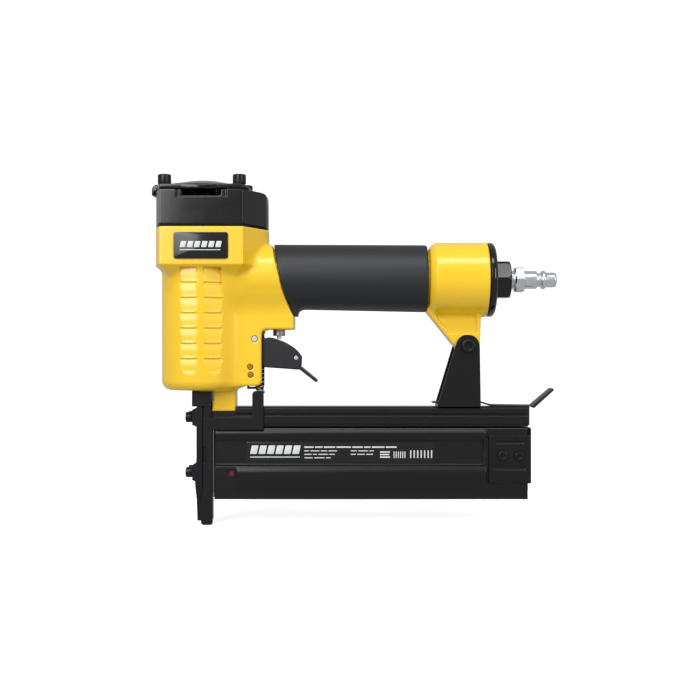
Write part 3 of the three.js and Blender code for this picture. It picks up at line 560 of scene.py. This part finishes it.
def cylinder_cap(step=0.5):
    bottom, top = CAP_LOW[2], CAP_HIGH[2]
    low = np.array([-33, -31.2, bottom - 1.3])
    x, y, z = space(low, (47, 31.2, top + 1.2), step)
    side = polygon([(-40, bottom), (HEAD_REAR + 1, bottom), (HEAD_REAR - 0.1, 212),
                    (HEAD_REAR - 0.5, 215), (HEAD_REAR - 2, 216.8), (HEAD_REAR - 4.2, top),
                    (-40, top)], x, z)
    body = meet(polygon(head_plan(0.25), x, y), side, 0.7)
    window = meet(slab(x, -13.2, 19.4), np.maximum(slab(y, -40, -28.2), slab(z, 211.9, 222)), 0.5)
    duct = meet(slab(x, -9.8, 15.4), np.maximum(slab(y, -40, 0), slab(z, 213.2, 222)), 0.8)
    port = np.maximum(cylinder(x, y, DRIVE_X, 0, 6), slab(z, 205, 222))
    cavity = np.maximum(cylinder(x, y, DRIVE_X, 0, 24.5), slab(z, 180, 212))
    for hole in (window, duct, port, cavity, cap_screw_holes(x, y)):
        body = np.maximum(body, -hole)
    return cast("cylinder_cap_casting", body, low, step, BLACK, "gun",
                "cylinder_cap")


cylinder_cap()

# %% [markdown]
# ## Exhaust cover
#
# A plate with a low dome covers the exhaust and sends it out to the side. The front of the dome runs
# into a tongue that bends over the edge of the cap, so the cover can't turn on its screws.

# %% Exhaust cover
DOME_X, DOME_R, DOME_TOP, DOME_EDGE_R = 1.4, 72, 226.1, 30


def exhaust_cover(step=0.5):
    bottom = limits("exhaust_cover")[0][2]
    floor = CAP_HIGH[2] + 0.3
    low = np.array([-34.5, -31, bottom - 1])
    x, y, z = space(low, (36, 31, 227.5), step)
    plan = meet(polygon(head_plan(0.8), x, y), x - 33.4, 1.0)
    edge = np.clip(x - 29, 0, 5) * 0.35
    plate = meet(plan, np.maximum(floor - z, z - (220.6 - edge)), 0.7)
    dome = np.sqrt((x - DOME_X) ** 2 + y ** 2 + (z - (DOME_TOP - DOME_R)) ** 2) - DOME_R
    dome = np.maximum(dome, np.maximum(cylinder(x, y, DOME_X, 0, DOME_EDGE_R), floor - z))
    tongue = meet(polygon([(-30.8, 216.2), (-31.8, 215.4), (-32.8, 216), (-32.8, 219.8),
                           (-32, 221.8), (-30.2, 222.9), (-26, 223.3), (-10, 224.4), (-10, 218),
                           (-30.8, 218)], x, z), slab(y, -9, 9), 0.6)
    body = blend(blend(plate, dome, 1.4), tongue, 1.2)
    body = np.maximum(body, -cap_screw_holes(x, y))
    return cast("exhaust_cover_casting", body, low, step, BLACK, "gun",
                "exhaust_cover")


exhaust_cover()

# %% [markdown]
# ## Grip sleeve
#
# The rubber sleeve tapers a little toward the trigger and has rounded ends. At its lower front it
# reaches down behind the trigger, with a hollow curve that seats the middle finger.

# %% Grip sleeve
GRIP_FRONT, GRIP_REAR = (45, 162.4, 21.6), (150, 161.15, 22.45)    # x, centre z, radius
TUBE_R, GRIP_BORE_R = 18.5, 18.8


def grip_sleeve(step=0.7):
    low = np.array([44.6, -24, 134])
    x, y, z = space(low, (151.6, 24, 186), step)
    t = (x - GRIP_FRONT[0]) / (GRIP_REAR[0] - GRIP_FRONT[0])
    centre = GRIP_FRONT[1] + (GRIP_REAR[1] - GRIP_FRONT[1]) * t
    r = GRIP_FRONT[2] + (GRIP_REAR[2] - GRIP_FRONT[2]) * t
    round_part = np.sqrt(y ** 2 + (z - centre) ** 2) - r
    skirt = meet(slab(y, -10.5, 10.5), polygon([(50, 150), (66, 150), (64.6, 141), (63.4, 135.7),
                                                (58, 135.7)], x, z), 0.8)
    body = blend(round_part, skirt, 4.5)
    behind = polygon([(46.9, 188), (54.3, 154)] + bulged((54.3, 154), (62.0, 135), (57.4, 144), 6)
                     + [(62.0, 135), (170, 130), (170, 192), (46, 192)], x, z)
    body = meet(body, behind, 0.7)
    body = meet(body, x - 149.8, 1.3)
    bore = cylinder(y, z, 0, HANDLE_Z, GRIP_BORE_R)
    return cast("grip_rubber", np.maximum(body, -bore), low, step, "moulded_nitrile_grip_rubber",
                "gun", "grip_sleeve")


grip_sleeve()

# %% [markdown]
# ## Handle tube
#
# Between the two castings the handle is the plain tube under the grip. It is drawn so that the
# handle is whole from inside as well.

# %% Handle tube
def handle_tube(step=1.0):
    low = np.array([43.5, -20, 141])
    x, y, z = space(low, (153, 20, 181), step)
    ring = np.maximum(cylinder(y, z, 0, HANDLE_Z, TUBE_R), -cylinder(y, z, 0, HANDLE_Z, CHAMBER_R))
    return cast("body_casting_handle", np.maximum(ring, slab(x, 44.5, 151.5)), low, step, YELLOW,
                "gun", "gun_body")


handle_tube()

# %% [markdown]
# ## Trigger
#
# The trigger is pressed from 1.6 mm sheet: two cheeks with a web between them at the bottom, which
# runs on past the cheeks as a tongue for the finger.

# %% Trigger
def trigger(step=0.4):
    low = np.array([30.6, -9.9, 91])
    x, y, z = space(low, (78, 9.9, 125.6), step)
    cheek = polygon([(31.8, 117.5)] + bulged((31.8, 117.5), (35.7, 124.6), (31.6, 124.6), 6)
                    + bulged((35.7, 124.6), (41.4, 121), (39.5, 124.4), 5)
                    + bulged((41.4, 121), (47, 121.6), (44.5, 122.4), 5)
                    + bulged((47, 121.6), (66.1, 109.1), (61, 117.5), 10)
                    + [(66.1, 109.1), (65.9, 103.5), (65.3, 100.4), (42, 102)], x, z)
    outer = meet(cheek, slab(y, -9, 9), 0.5)
    inner = np.maximum(polygon([(20, 90), (41.9, 90), (41.9, 103.6), (70, 102.2), (70, 130),
                                (20, 130)], x, z), slab(y, -7.4, 7.4))
    tongue = meet(polygon([(60, 100.7), (65.3, 100.4), (75.6, 92.2), (76.9, 92.4), (76.8, 93.6),
                           (66.3, 102.2), (60, 102.6)], x, z), slab(y, -9, 9), 0.5)
    body = np.minimum(np.maximum(outer, -inner), tongue)
    for pin, r in (("trigger_pin", 2.0), ("trigger_lever_pin", 1.5)):
        at = middle_of(pin)
        body = np.maximum(body, -cylinder(x, z, at[0], at[2], r))
    return cast("trigger_pressing", body, low, step, "dark_grey_enamel_on_pressed_steel",
                "trigger", "trigger")


trigger()

# %% [markdown]
# ## Turned pieces
#
# Screws, pins, the end cap and the air plug are all turned. One function spins a profile of radius and
# position about an axis. Where a stretch of the profile is marked as hexagonal, its radius stops
# at six flats, so the corners of a hexagon keep the chamfer that the lathe cut first.

# %% Spun profiles
def spun(profile, sides=48, flats=None, round_r=0.0):
    """Vertices and faces of a closed profile of (radius, position), spun about the Z axis."""
    points = softened(profile, round_r) if round_r else np.array(profile, float)
    angle = np.arange(sides) * 2 * np.pi / sides
    limit = np.full(sides, 1e9)
    if flats:
        limit = flats[0] / np.cos((angle + np.pi / 6) % (np.pi / 3) - np.pi / 6)
    rings = []
    for r, z in points:
        held = np.minimum(r, limit) if flats and flats[1] <= z <= flats[2] else np.full(sides, r)
        rings.append(np.stack([held * np.cos(angle), held * np.sin(angle),
                               np.full(sides, z)], axis=1))
    count = len(points)
    vertices = np.concatenate(rings)
    a, b = np.meshgrid(np.arange(count), np.arange(sides), indexing="ij")
    a2, b2 = (a + 1) % count, (b + 1) % sides
    faces = np.stack([a * sides + b, a * sides + b2, a2 * sides + b2, a2 * sides + b], axis=-1)
    return vertices, faces.reshape(-1, 4)


def softened(profile, r, steps=3):
    """The profile with each corner cut by a small arc of about r."""
    points = np.array(profile, float)
    out = []
    for i, p in enumerate(points):
        before, after = points[i - 1] - p, points[(i + 1) % len(points)] - p
        reach = min(r, np.hypot(*before) * 0.4, np.hypot(*after) * 0.4)
        a = p + before / max(np.hypot(*before), 1e-9) * reach
        b = p + after / max(np.hypot(*after), 1e-9) * reach
        for t in np.linspace(0, 1, steps):
            out.append((1 - t) ** 2 * a + 2 * t * (1 - t) * p + t * t * b)
    return np.array(out)


TURNS = {"z": np.eye(3), "-z": np.diag([1, -1, -1]),
         "x": np.array([[0, 0, 1], [0, 1, 0], [-1, 0, 0]]),
         "-x": np.array([[0, 0, -1], [0, 1, 0], [1, 0, 0]]),
         "y": np.array([[1, 0, 0], [0, 0, 1], [0, -1, 0]]),
         "-y": np.array([[1, 0, 0], [0, 0, -1], [0, 1, 0]])}


def placed(vertices, direction, at):
    """Turns a shape made along +Z to point in a direction, and puts its zero at a place."""
    return vertices @ TURNS[direction].T + np.array(at)


def merged(*shapes):
    vertices, faces, start = [], [], 0
    for v, f in shapes:
        vertices.append(v)
        faces.append(f + start)
        start += len(v)
    return np.concatenate(vertices), np.concatenate(faces)


def edge_shade(made, degrees=32):
    """Keeps a sharp look on real corners and a smooth one elsewhere."""
    made.data.set_sharp_from_angle(angle=math.radians(degrees))
    return made


# %% [markdown]
# ## Screws
#
# All the screws are socket heads. The profile goes down into the hexagonal socket, over the
# rounded rim of the head and along the shank, so each is one closed turned piece with a real socket.

# %% Socket-head screws
def screw_shape(head_r, head_h, socket_r, socket_depth, shank_r, shank):
    """A screw that points down: its head ends at zero and its shank goes to negative z."""
    body = spun([(0.01, -socket_depth - 0.4), (shank_r, -head_h), (shank_r, -head_h - shank),
                 (0.01, -head_h - shank)], 32, round_r=0.15)
    rim = head_r * 0.16
    head = spun([(socket_r * 0.9, -socket_depth - 0.4), (socket_r, -socket_depth), (socket_r, -0.35),
                 (socket_r + 0.35, 0), (head_r - rim, 0), (head_r - rim * 0.3, -rim * 0.3),
                 (head_r, -rim), (head_r, -head_h + 0.2), (head_r - 0.25, -head_h),
                 (socket_r * 0.9, -head_h)], 72, round_r=0.12)
    cut = socket_r / 1.1
    v, f = head
    angle = np.arctan2(v[:, 1], v[:, 0])
    hexagon = cut / np.cos((angle + np.pi / 6) % (np.pi / 3) - np.pi / 6)
    radius = np.hypot(v[:, 0], v[:, 1])
    inner = radius < socket_r + 0.05
    scale = np.where(inner, hexagon / np.maximum(radius, 1e-6) * (radius / socket_r), 1)
    v = v * np.stack([scale, scale, np.ones_like(scale)], axis=1)
    floor = spun([(0.01, -socket_depth - 0.5), (socket_r * 1.05, -socket_depth - 0.5),
                  (socket_r * 1.05, -socket_depth - 0.1), (0.01, -socket_depth - 0.1)], 24)
    return merged(body, (v, f), floor)


def screw(name, direction, head_h, socket_r, body="gun"):
    low, high = limits(name)
    axis = "xyz".index(direction[-1])
    sign = -1 if direction[0] == "-" else 1
    across = [i for i in range(3) if i != axis]
    head_r = (high[across[0]] - low[across[0]]) / 2
    at = (low + high) / 2
    at[axis] = high[axis] if sign > 0 else low[axis]
    length = high[axis] - low[axis]
    shape = screw_shape(head_r, head_h, socket_r, head_h * 0.55, head_r * 0.56, length - head_h)
    vertices = placed(shape[0], direction, at)
    return edge_shade(piece(name + "_turned", new_mesh(name + "_turned", vertices, shape[1]),
                            "black_oxide_on_steel", body, name))


for number in range(1, 5):
    screw(f"cap_screw_{number}", "z", 6.3, 2.35)
    screw(f"nose_bolt_{number}", "-x", 4.3, 1.75)
for number in (1, 2):
    screw(f"rear_cover_screw_{number}", "-y", 1.7, 1.2, body="magazine")
    screw(f"bracket_screw_{number}", "z", 2.1, 1.4)
screw("bracket_bolt", "-y", 3.1, 2.4)

# %% [markdown]
# ## End cap and air plug
#
# The end cap screws into the flare and has a hexagon for a wrench. The quick-connect plug in it is
# chromed: a hexagon, a plain stretch, the groove that the coupling's balls lock in, the ring and
# the nose. Both are spun about the inlet's axis and keep a bore through them.

# %% End cap and air plug
INLET_Y, INLET_Z = middle_of("air_plug")[1:]


def end_cap():
    outer = spun([(5.4, 181), (13.8, 181), (13.8, 190.3), (24.6, 190.3), (24.8, 190.6),
                  (24.8, 192.2), (24.3, 193.6), (22.9, 194.6), (15, 195.2), (5.4, 195.2)], 96,
                 round_r=0.35)
    hexagon = spun([(5.4, 194.5), (13.6, 194.5), (13.6, 203.2), (12.9, 204.6), (11.7, 205.4),
                    (6.6, 205.4), (5.4, 204.6)], 96, flats=(12.0, 190, 210), round_r=0.4)
    vertices, faces = merged(outer, hexagon)
    vertices = placed(vertices, "x", (0, INLET_Y, INLET_Z))
    made = piece("end_cap_turned", new_mesh("end_cap_turned", vertices, faces), BLACK, "gun",
                 "end_cap")
    return edge_shade(made)


def air_plug():
    bore = 3.2
    thread = spun([(bore, 198), (5.1, 198), (5.1, 204.9), (6.9, 205.5), (6.9, 206.6), (5.9, 207),
                   (5.9, 208.5), (bore, 208.5)], 48, round_r=0.15)
    hexagon = spun([(bore, 208.3), (7.6, 208.3), (9.1, 209.3), (9.1, 213.9), (7.6, 214.9),
                    (bore, 214.9)], 96, flats=(8.1, 200, 220), round_r=0.35)
    nose = spun([(bore, 214), (6.0, 214), (6.0, 223.0), (5.6, 223.5), (4.6, 223.9), (4.5, 225.6),
                 (5.2, 226.0), (6.1, 226.8), (6.3, 227.9), (5.9, 229.0), (5.0, 229.5),
                 (5.0, 235.0), (4.5, 236.2), (3.9, 236.3), (bore, 235.8)], 64, round_r=0.3)
    vertices, faces = merged(thread, hexagon, nose)
    vertices = placed(vertices, "x", (0, INLET_Y, INLET_Z))
    made = piece("air_plug_turned", new_mesh("air_plug_turned", vertices, faces),
                 "chrome_plate_on_steel", "gun", "air_plug")
    return edge_shade(made)


end_cap()
air_plug()

# %% [markdown]
# ## Springs
#
# The CAD springs are coarse.

# %% Springs
def helix(r, wire, turns, start, end, sides=10, per_turn=28):
    """A coil spring along +Z whose last turns lie flat."""
    steps = int(turns * per_turn)
    t = np.linspace(0, 1, steps + 1)
    angle = 2 * np.pi * turns * t
    flat = 1.0 / turns
    rise = np.clip((t - flat) / (1 - 2 * flat), 0, 1)
    z = start + wire + (end - start - 2 * wire) * rise
    centre = np.stack([r * np.cos(angle), r * np.sin(angle), z], axis=1)
    tangent = np.gradient(centre, axis=0)
    tangent /= np.linalg.norm(tangent, axis=1)[:, None]
    out = np.stack([np.cos(angle), np.sin(angle), 0 * angle], axis=1)
    side = np.cross(tangent, out)
    phi = np.arange(sides) * 2 * np.pi / sides
    ring = (centre[:, None, :] + wire * (np.cos(phi)[None, :, None] * out[:, None, :]
            + np.sin(phi)[None, :, None] * side[:, None, :]))
    vertices = ring.reshape(-1, 3)
    a, b = np.meshgrid(np.arange(steps), np.arange(sides), indexing="ij")
    b2 = (b + 1) % sides
    faces = np.stack([a * sides + b, (a + 1) * sides + b, (a + 1) * sides + b2, a * sides + b2],
                     axis=-1).reshape(-1, 4)
    ends = [[0, k, k + 1, k + 2] for k in range(1, sides - 2, 2)]
    last = steps * sides
    caps = [[last, last + k + 2, last + k + 1, last + k] for k in range(1, sides - 2, 2)]
    return vertices, np.concatenate([faces, np.array(ends), np.array(caps)])


def spring(node, r, wire, turns, body, axis):
    """A coil along an axis that fills the length of a node."""
    low, high = limits(node)
    index = "xyz".index(axis)
    at = (low + high) / 2
    at[index] = 0
    vertices, faces = helix(r, wire, turns, low[index], high[index])
    name = node + "_coil"
    vertices = placed(vertices, axis, at)
    made = piece(name, new_mesh(name, vertices, faces), "bright_turned_steel", body,
                 node)
    held = at.copy()
    held[index] = high[index]
    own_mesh(made)


spring("safety_spring", 2.1, 0.35, 9, "gun", "z")
spring("head_valve_spring", 19.0, 0.9, 5, "gun", "z")
spring("trigger_valve_spring", 1.8, 0.3, 8, "gun", "z")
spring("pusher_spring", 1.95, 0.25, 30, "magazine", "x")

# %% [markdown]
# ## Rear cover of the magazine
#
# The cover is pressed from 1.4 mm sheet and bent round the end. Two long grooves stiffen its side,
# one above the screws and one below them.

# %% Rear cover
COVER_SHEET, COVER_SIDE_TOP = 1.4, 57.1
COVER_GROOVES = ((195.9, 212.3, 52.4, 0.9), (194.5, 213.5, 35.6, 1.2))    # start, end, height, half
GROOVE_DEPTH = 0.5


def rear_cover(step=0.42):
    (x0, y0, z0), (x1, y1, z1) = limits("rear_cover")
    low = np.array([x0 - 0.8, y0 - 0.8, z0 - 0.8])
    x, y, z = space(low, (x1 + 0.8, y1 + 0.8, z1 + 0.8), step)
    wall_y, wall_x = y0 + COVER_SHEET, x1 - COVER_SHEET
    outside = meet(meet(slab(x, x0, x1), np.maximum(y0 - y, y - y1), 1.6), slab(z, z0, z1), 0.4)
    inside = np.maximum(wall_y - y, x - wall_x)
    upper = np.maximum(COVER_SIDE_TOP - z, x - wall_x)              # the side wall is lower
    body = np.maximum(np.maximum(outside, -inside), -upper)
    for start, end, height, half in COVER_GROOVES:
        along = np.clip(x, start, end)
        groove = np.sqrt((x - along) ** 2 + (z - height) ** 2) - half
        body = np.maximum(body, -np.maximum(groove, y - (y0 + GROOVE_DEPTH)))
    for number in (1, 2):
        at = middle_of(f"rear_cover_screw_{number}")
        body = np.maximum(body, -cylinder(x, z, at[0], at[2], 1.7))
    return cast("rear_cover_pressing", body, low, step, "black_powder_coat_on_pressed_steel",
                "magazine", "rear_cover")


rear_cover()

# %% [markdown]
# ## Ribs of the sliding magazine
#
# The extrusion's near wall swells into two long ribs, one above the label's recess and one below.
# Each rib is a bar whose face is a smoothed curve, steepest at the top edge, and its ends fade into
# the wall. The lower one starts behind the sight hole, so that the pusher stays in view.

# %% Ribs of the sliding magazine
def rib_profile(z_low, z_high, points, steps=40):
    """Outward height of a rib over its width, smoothed through a few (share, height) points."""
    shares, heights = np.array(points).T
    at = np.linspace(0, 1, steps + 1)
    height = np.interp(at, shares, heights)
    for _ in range(6):
        height[1:-1] = (height[:-2] + 2 * height[1:-1] + height[2:]) / 4
    return z_low + at * (z_high - z_low), height


FADE = [(0, 0.1), (0.25, 0.5), (0.7, 0.8), (1.3, 0.95), (2.1, 1.0)]    # distance in, share of height
BURIED = 0.3


def rib(name, x0, z_range, points):
    """A bar from x0 to just before the rear cover, with its back buried in the magazine's wall."""
    x1, wall = COVER_FRONT - 0.8, SLIDER_LOW[1]
    z, height = rib_profile(*z_range, points)
    stations = [(x0 + d, f) for d, f in FADE] + [(x1 - d, f) for d, f in FADE[::-1]]
    vertices, faces, ring = [], [], len(z) + 2
    for at, share in stations:
        vertices += [(at, wall + BURIED, z[0])]
        vertices += [(at, wall - h * share, level) for level, h in zip(z, height)]
        vertices += [(at, wall + BURIED, z[-1])]
    for a in range(len(stations) - 1):
        for b in range(ring):
            b2 = (b + 1) % ring
            faces.append((a * ring + b, (a + 1) * ring + b, (a + 1) * ring + b2, a * ring + b2))
    for start in (0, (len(stations) - 1) * ring):
        cap = [(start + k, start + k + 1, start + ring - 2 - k, start + ring - 1 - k)
               for k in range((ring - 1) // 2)]
        faces += [c if start == 0 else c[::-1] for c in cap if len(set(c)) == 4]
    made = piece(name, new_mesh(name, vertices, faces), "black_anodised_aluminium_extrusion",
                 "magazine")
    return edge_shade(made)


SLIDER_LOW = limits("sliding_magazine")[0]
COVER_FRONT = limits("rear_cover")[0][0]
LOWER_RIB_START = 23.0                      # behind the sight hole
rib("slider_rib_upper", SLIDER_LOW[0] + 0.2, (53.9, 61.2),
    ((0, 0), (0.2, 0.5), (0.45, 1.2), (0.65, 1.3), (1, 0)))
rib("slider_rib_lower", LOWER_RIB_START, (20.9, 36.5),
    ((0, 0), (0.08, 0.3), (0.4, 0.8), (0.68, 1.3), (0.8, 1.35), (1, 0)))
print("ribs: 2, rear end, mm:", (COVER_FRONT - 0.8).round(1))

# %% [markdown]
# ## Badge and magazine label
#
# Both are printed film with rounded corners. The marks on them are plain bars and blocks that stand
# for print of that size. They are no letters and no sign of any maker.

# %% Plates with rounded corners
def rounded_plate(x_range, z_range, y_front, thick, r, bevel=0.12, slant=0.0):
    """A thin plate that faces -Y; slant leans its upright sides, as a degree of italic."""
    (x0, x1), (z0, z1) = x_range, z_range
    outline = []
    for cx, cz, start in ((x1 - r, z1 - r, 0), (x0 + r, z1 - r, 90), (x0 + r, z0 + r, 180),
                          (x1 - r, z0 + r, 270)):
        for degrees in range(start, start + 91, 15):
            angle = math.radians(degrees)
            outline.append((cx + r * math.cos(angle), cz + r * math.sin(angle)))
    centre = ((x0 + x1) / 2, (z0 + z1) / 2)
    rings, count = [], len(outline)
    for inset, depth in ((bevel, 0), (bevel * 0.3, bevel * 0.3), (0, bevel), (0, thick)):
        ring = []
        for px, pz in outline:
            px -= math.copysign(min(inset, abs(px - centre[0])), px - centre[0])
            pz -= math.copysign(min(inset, abs(pz - centre[1])), pz - centre[1])
            ring.append((px + slant * (pz - z0), y_front + depth, pz))
        rings.append(ring)
    vertices = [p for ring in rings for p in ring]
    faces = []
    for a in range(len(rings) - 1):
        for b in range(count):
            b2 = (b + 1) % count
            faces.append((a * count + b, a * count + b2, (a + 1) * count + b2, (a + 1) * count + b))
    lid = [(0, k + 2, k + 1, k) for k in range(1, count - 2, 2)]
    back = (len(rings) - 1) * count
    base = [(back, back + k, back + k + 1, back + k + 2) for k in range(1, count - 2, 2)]
    return np.array(vertices), np.array(faces + lid + base)


def plate_piece(name, shapes, material, body, replaces=()):
    vertices, faces = merged(*shapes)
    made = piece(name, new_mesh(name, vertices, faces), material, body, replaces)
    return edge_shade(made)


BADGE_LOW, BADGE_HIGH = limits("name_badge")
LABEL_LOW, LABEL_HIGH = limits("magazine_label")
PRINT_DEPTH = 0.05
LEAN = 0.22                                 # slant of the large blocks

badge_front, label_front = BADGE_LOW[1] + 0.15, LABEL_LOW[1]
plate_piece("badge_film", [rounded_plate((BADGE_LOW[0], BADGE_HIGH[0]), (BADGE_LOW[2], BADGE_HIGH[2]),
                                         badge_front, 0.55, 1.5)],
            "black_printed_film", "gun", "name_badge")
plate_piece("label_film", [rounded_plate((LABEL_LOW[0], LABEL_HIGH[0]), (LABEL_LOW[2], LABEL_HIGH[2]),
                                         label_front, 0.3, 1.2)],
            "black_printed_film", "magazine", "magazine_label")


def bars(left, bottom, height, widths, gap, y_front, slant=0.0, r=0.2):
    """A row of printed bars with these widths, from a left end."""
    shapes, at = [], left
    for width in widths:
        shapes.append(rounded_plate((at, at + width), (bottom, bottom + height),
                                    y_front - PRINT_DEPTH, PRINT_DEPTH * 1.5, r, 0.01, slant))
        at += width + gap
    return shapes


# %% Generic print
badge_marks = bars(-10.6, 179.4, 3.9, (3.4,) * 6, 1.15, badge_front, LEAN)
badge_marks += bars(-10.6, 177.5, 0.5, (26.0,), 0, badge_front, LEAN, 0.1)
plate_piece("badge_print", badge_marks, "white_screen_print", "gun")

label_marks = bars(32.2, 44.6, 5.6, (4.4,) * 6, 1.2, label_front, LEAN, 0.3)
label_marks += bars(32.2, 42.2, 0.6, (33.0,), 0, label_front, LEAN, 0.15)
ROW_PITCH = 2.3
left_rows = ((6.2, 5.0, 7.4, 9.6, 7.0, 4.2, 8.4, 7.2), (3.2, 6.0, 4.2, 5.6), (4.8, 2.6, 6.6, 3.4),
             (5.6, 7.0, 3.0))
right_rows = ((4.2, 6.4, 3.0), (3.4, 5.0, 4.6))
for row, words in enumerate(left_rows):
    height = 0.6 if row else 0.95           # the first row is a heading
    label_marks += bars(68.2, 48.6 - row * ROW_PITCH, height, words, 0.9, label_front, 0, 0.12)
for row, words in enumerate(right_rows):
    label_marks += bars(99.0, 46.3 - row * ROW_PITCH, 0.6, words, 0.9, label_front, 0, 0.12)
for row, width in enumerate((6.6, 6.2, 6.6)):
    label_marks += bars(118.4, 45.4 - row * 1.7, 0.9, (width,), 0, label_front, 0, 0.3)
label_marks += bars(127.4, 41.8, 4.4, (0.6,) * 6, 0.85, label_front, 0, 0.2)
label_marks += bars(138.4, 41.8, 5.2, (0.8,) * 7, 1.5, label_front, 0, 0.3)
plate_piece("label_print", label_marks, "white_screen_print", "magazine")
print("print marks:", len(badge_marks) + len(label_marks))

# %% [markdown]
# ## The remaining CAD pieces
#
# Plates, pins, extrusions and the inner works are already right in the CAD. They get their
# material, and modifiers that make the facets into a real part: faces that lie in one plane are
# joined, edges are broken by a small bevel, and round walls are shaded smooth.

# %% Finish of the CAD nodes
FINISHES = {
    "black_oxide_on_steel": ("safety_lower", "safety_upper", "driver_guide", "nose_plate",
                             "latch_leaf", "bracket_nut"),
    "dark_grey_enamel_on_pressed_steel": ("latch_lever",),
    "black_powder_coat_on_pressed_steel": ("rear_bracket",),
    "black_anodised_aluminium_extrusion": ("fixed_magazine", "sliding_magazine",
                                           "magazine_end_block"),
    "bright_turned_steel": ("trigger_pin", "trigger_lever", "trigger_lever_pin", "driver_blade",
                            "trigger_valve_stem", "pusher_rod"),
    "nickel_plated_brass": ("trigger_valve_housing",),
    "turned_brass": ("safety_guide_pin_1", "safety_guide_pin_2"),
    "machined_aluminium_casting": ("cylinder", "piston", "head_valve_piston"),
    "nitrile_seal_rubber": ("cap_gasket", "cylinder_seal_lower", "cylinder_seal_upper",
                            "piston_ring_seal", "head_valve_ring_seal", "end_cap_ring_seal"),
    "urethane_bumper_rubber": ("bumper",),
    "red_acetal_plastic": ("pusher",),
}
BEVELS = {"latch_lever": 0.8, "driver_guide": 0.5, "nose_plate": 0.6, "rear_bracket": 0.4,
          "safety_lower": 0.35, "fixed_magazine": 0.3, "sliding_magazine": 0.35,
          "latch_leaf": 0.25, "trigger_lever": 0.4}


def finish_node(name, material):
    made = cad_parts[name]
    mesh = made.data
    mesh.materials.clear()
    mesh.materials.append(MATERIALS[material])
    if mesh.has_custom_normals:
        mesh.attributes.remove(mesh.attributes["custom_normal"])
    mesh.polygons.foreach_set("use_smooth", np.ones(len(mesh.polygons), bool))
    low, high = limits(name)
    width = BEVELS.get(name, min(0.3, float((high - low).min()) * 0.12))
    weld = made.modifiers.new("weld", "WELD")
    weld.merge_threshold = 0.002 * MM
    flat = made.modifiers.new("flat_faces", "DECIMATE")
    flat.decimate_type = "DISSOLVE"
    flat.angle_limit = math.radians(1)
    bevel = made.modifiers.new("broken_edges", "BEVEL")
    bevel.width = width * MM
    bevel.segments = 2
    bevel.limit_method = "ANGLE"
    bevel.angle_limit = math.radians(35)
    bevel.harden_normals = True
    normal = made.modifiers.new("flat_shading", "WEIGHTED_NORMAL")
    normal.keep_sharp = True


for material, nodes in FINISHES.items():
    for name in nodes:
        finish_node(name, material)
print("CAD nodes finished:", sum(len(nodes) for nodes in FINISHES.values()))

# %% [markdown]
# ## Studio
#
# A white sweep and even white light, as for a catalogue. A tall softbox at the front left lights
# the barrel's louvres and the cap, a smaller strip at the right catches the edges, and a broad light
# above gives the top faces their sheen. The paper glows a little, so that it stays white behind the
# tool, and it is hidden from reflections and bounced light, so that the blacks stay deep. The room
# is white where the camera sees it but only half as bright as a source of light.

# %% Floor and light
def sweep(depth_front=2.5, depth_back=2.5, width=6.0, rise=3.0, r=1.0):
    """A floor that curves up into a wall behind the tool."""
    ground = -2.4 * MM                   # just under the lowest point of the tool
    profile = [(-depth_front, ground), (depth_back - r, ground)]
    profile += [(depth_back - r + r * math.sin(a), ground + r - r * math.cos(a))
                for a in np.linspace(0, math.pi / 2, 13)[1:]]
    profile += [(depth_back, ground + rise)]
    vertices = [(x, y, z) for y, z in profile for x in (-width / 2, width / 2)]
    faces = [(2 * i, 2 * i + 1, 2 * i + 3, 2 * i + 2) for i in range(len(profile) - 1)]
    mesh = bpy.data.meshes.new("studio_sweep")
    mesh.from_pydata(vertices, [], faces)
    mesh.polygons.foreach_set("use_smooth", np.ones(len(faces), bool))
    made = bpy.data.objects.new("studio_sweep", mesh)
    bpy.context.scene.collection.objects.link(made)
    material, tree = new_material("white_paper_sweep")
    shader = add(tree, "ShaderNodeBsdfPrincipled", Base_Color=(0.85, 0.85, 0.85, 1), Roughness=0.9,
                 Emission_Color=(1, 1, 1, 1), Emission_Strength=0.62)
    mesh.materials.append(close(material, tree, shader))
    made.visible_glossy = False          # black faces mirror the dim room, not the bright paper
    made.visible_diffuse = False         # and the paper throws no light up at the tool
    return made


def softbox(name, place, size, power):
    """A rectangular light in metres and watts that faces the middle of the tool."""
    light = bpy.data.lights.new(name, "AREA")
    light.shape = "RECTANGLE"
    light.size, light.size_y = size
    light.energy = power
    made = bpy.data.objects.new(name, light)
    made.location = place
    direction = np.array(MIDDLE) - np.array(place)
    made.rotation_euler = mathutils.Vector(direction).to_track_quat("-Z", "Y").to_euler()
    bpy.context.scene.collection.objects.link(made)
    return made


sweep()
MIDDLE = (0.06, 0, 0.14)
softbox("softbox_left", (-0.52, -1.2, 0.72), (0.66, 0.9), 12)
softbox("softbox_right", (1.05, -0.9, 0.5), (0.25, 0.6), 3.5)
softbox("softbox_top", (0.12, -0.68, 1.2), (1.0, 0.34), 6.5)
ROOM_LIGHT, ROOM_SEEN = 0.5, 1.0
world = bpy.data.worlds.new("studio_white")
bpy.context.scene.world = world
world.use_nodes = True
background = world.node_tree.nodes["Background"]
background.inputs["Color"].default_value = (1, 1, 1, 1)
room = add(world.node_tree, "ShaderNodeLightPath")
brightness = add(world.node_tree, "ShaderNodeMapRange", Value=room.outputs["Is Camera Ray"],
                 i3=ROOM_LIGHT, i4=ROOM_SEEN)
world.node_tree.links.new(brightness.outputs[0], background.inputs["Strength"])
print("lights:", len(bpy.data.lights))
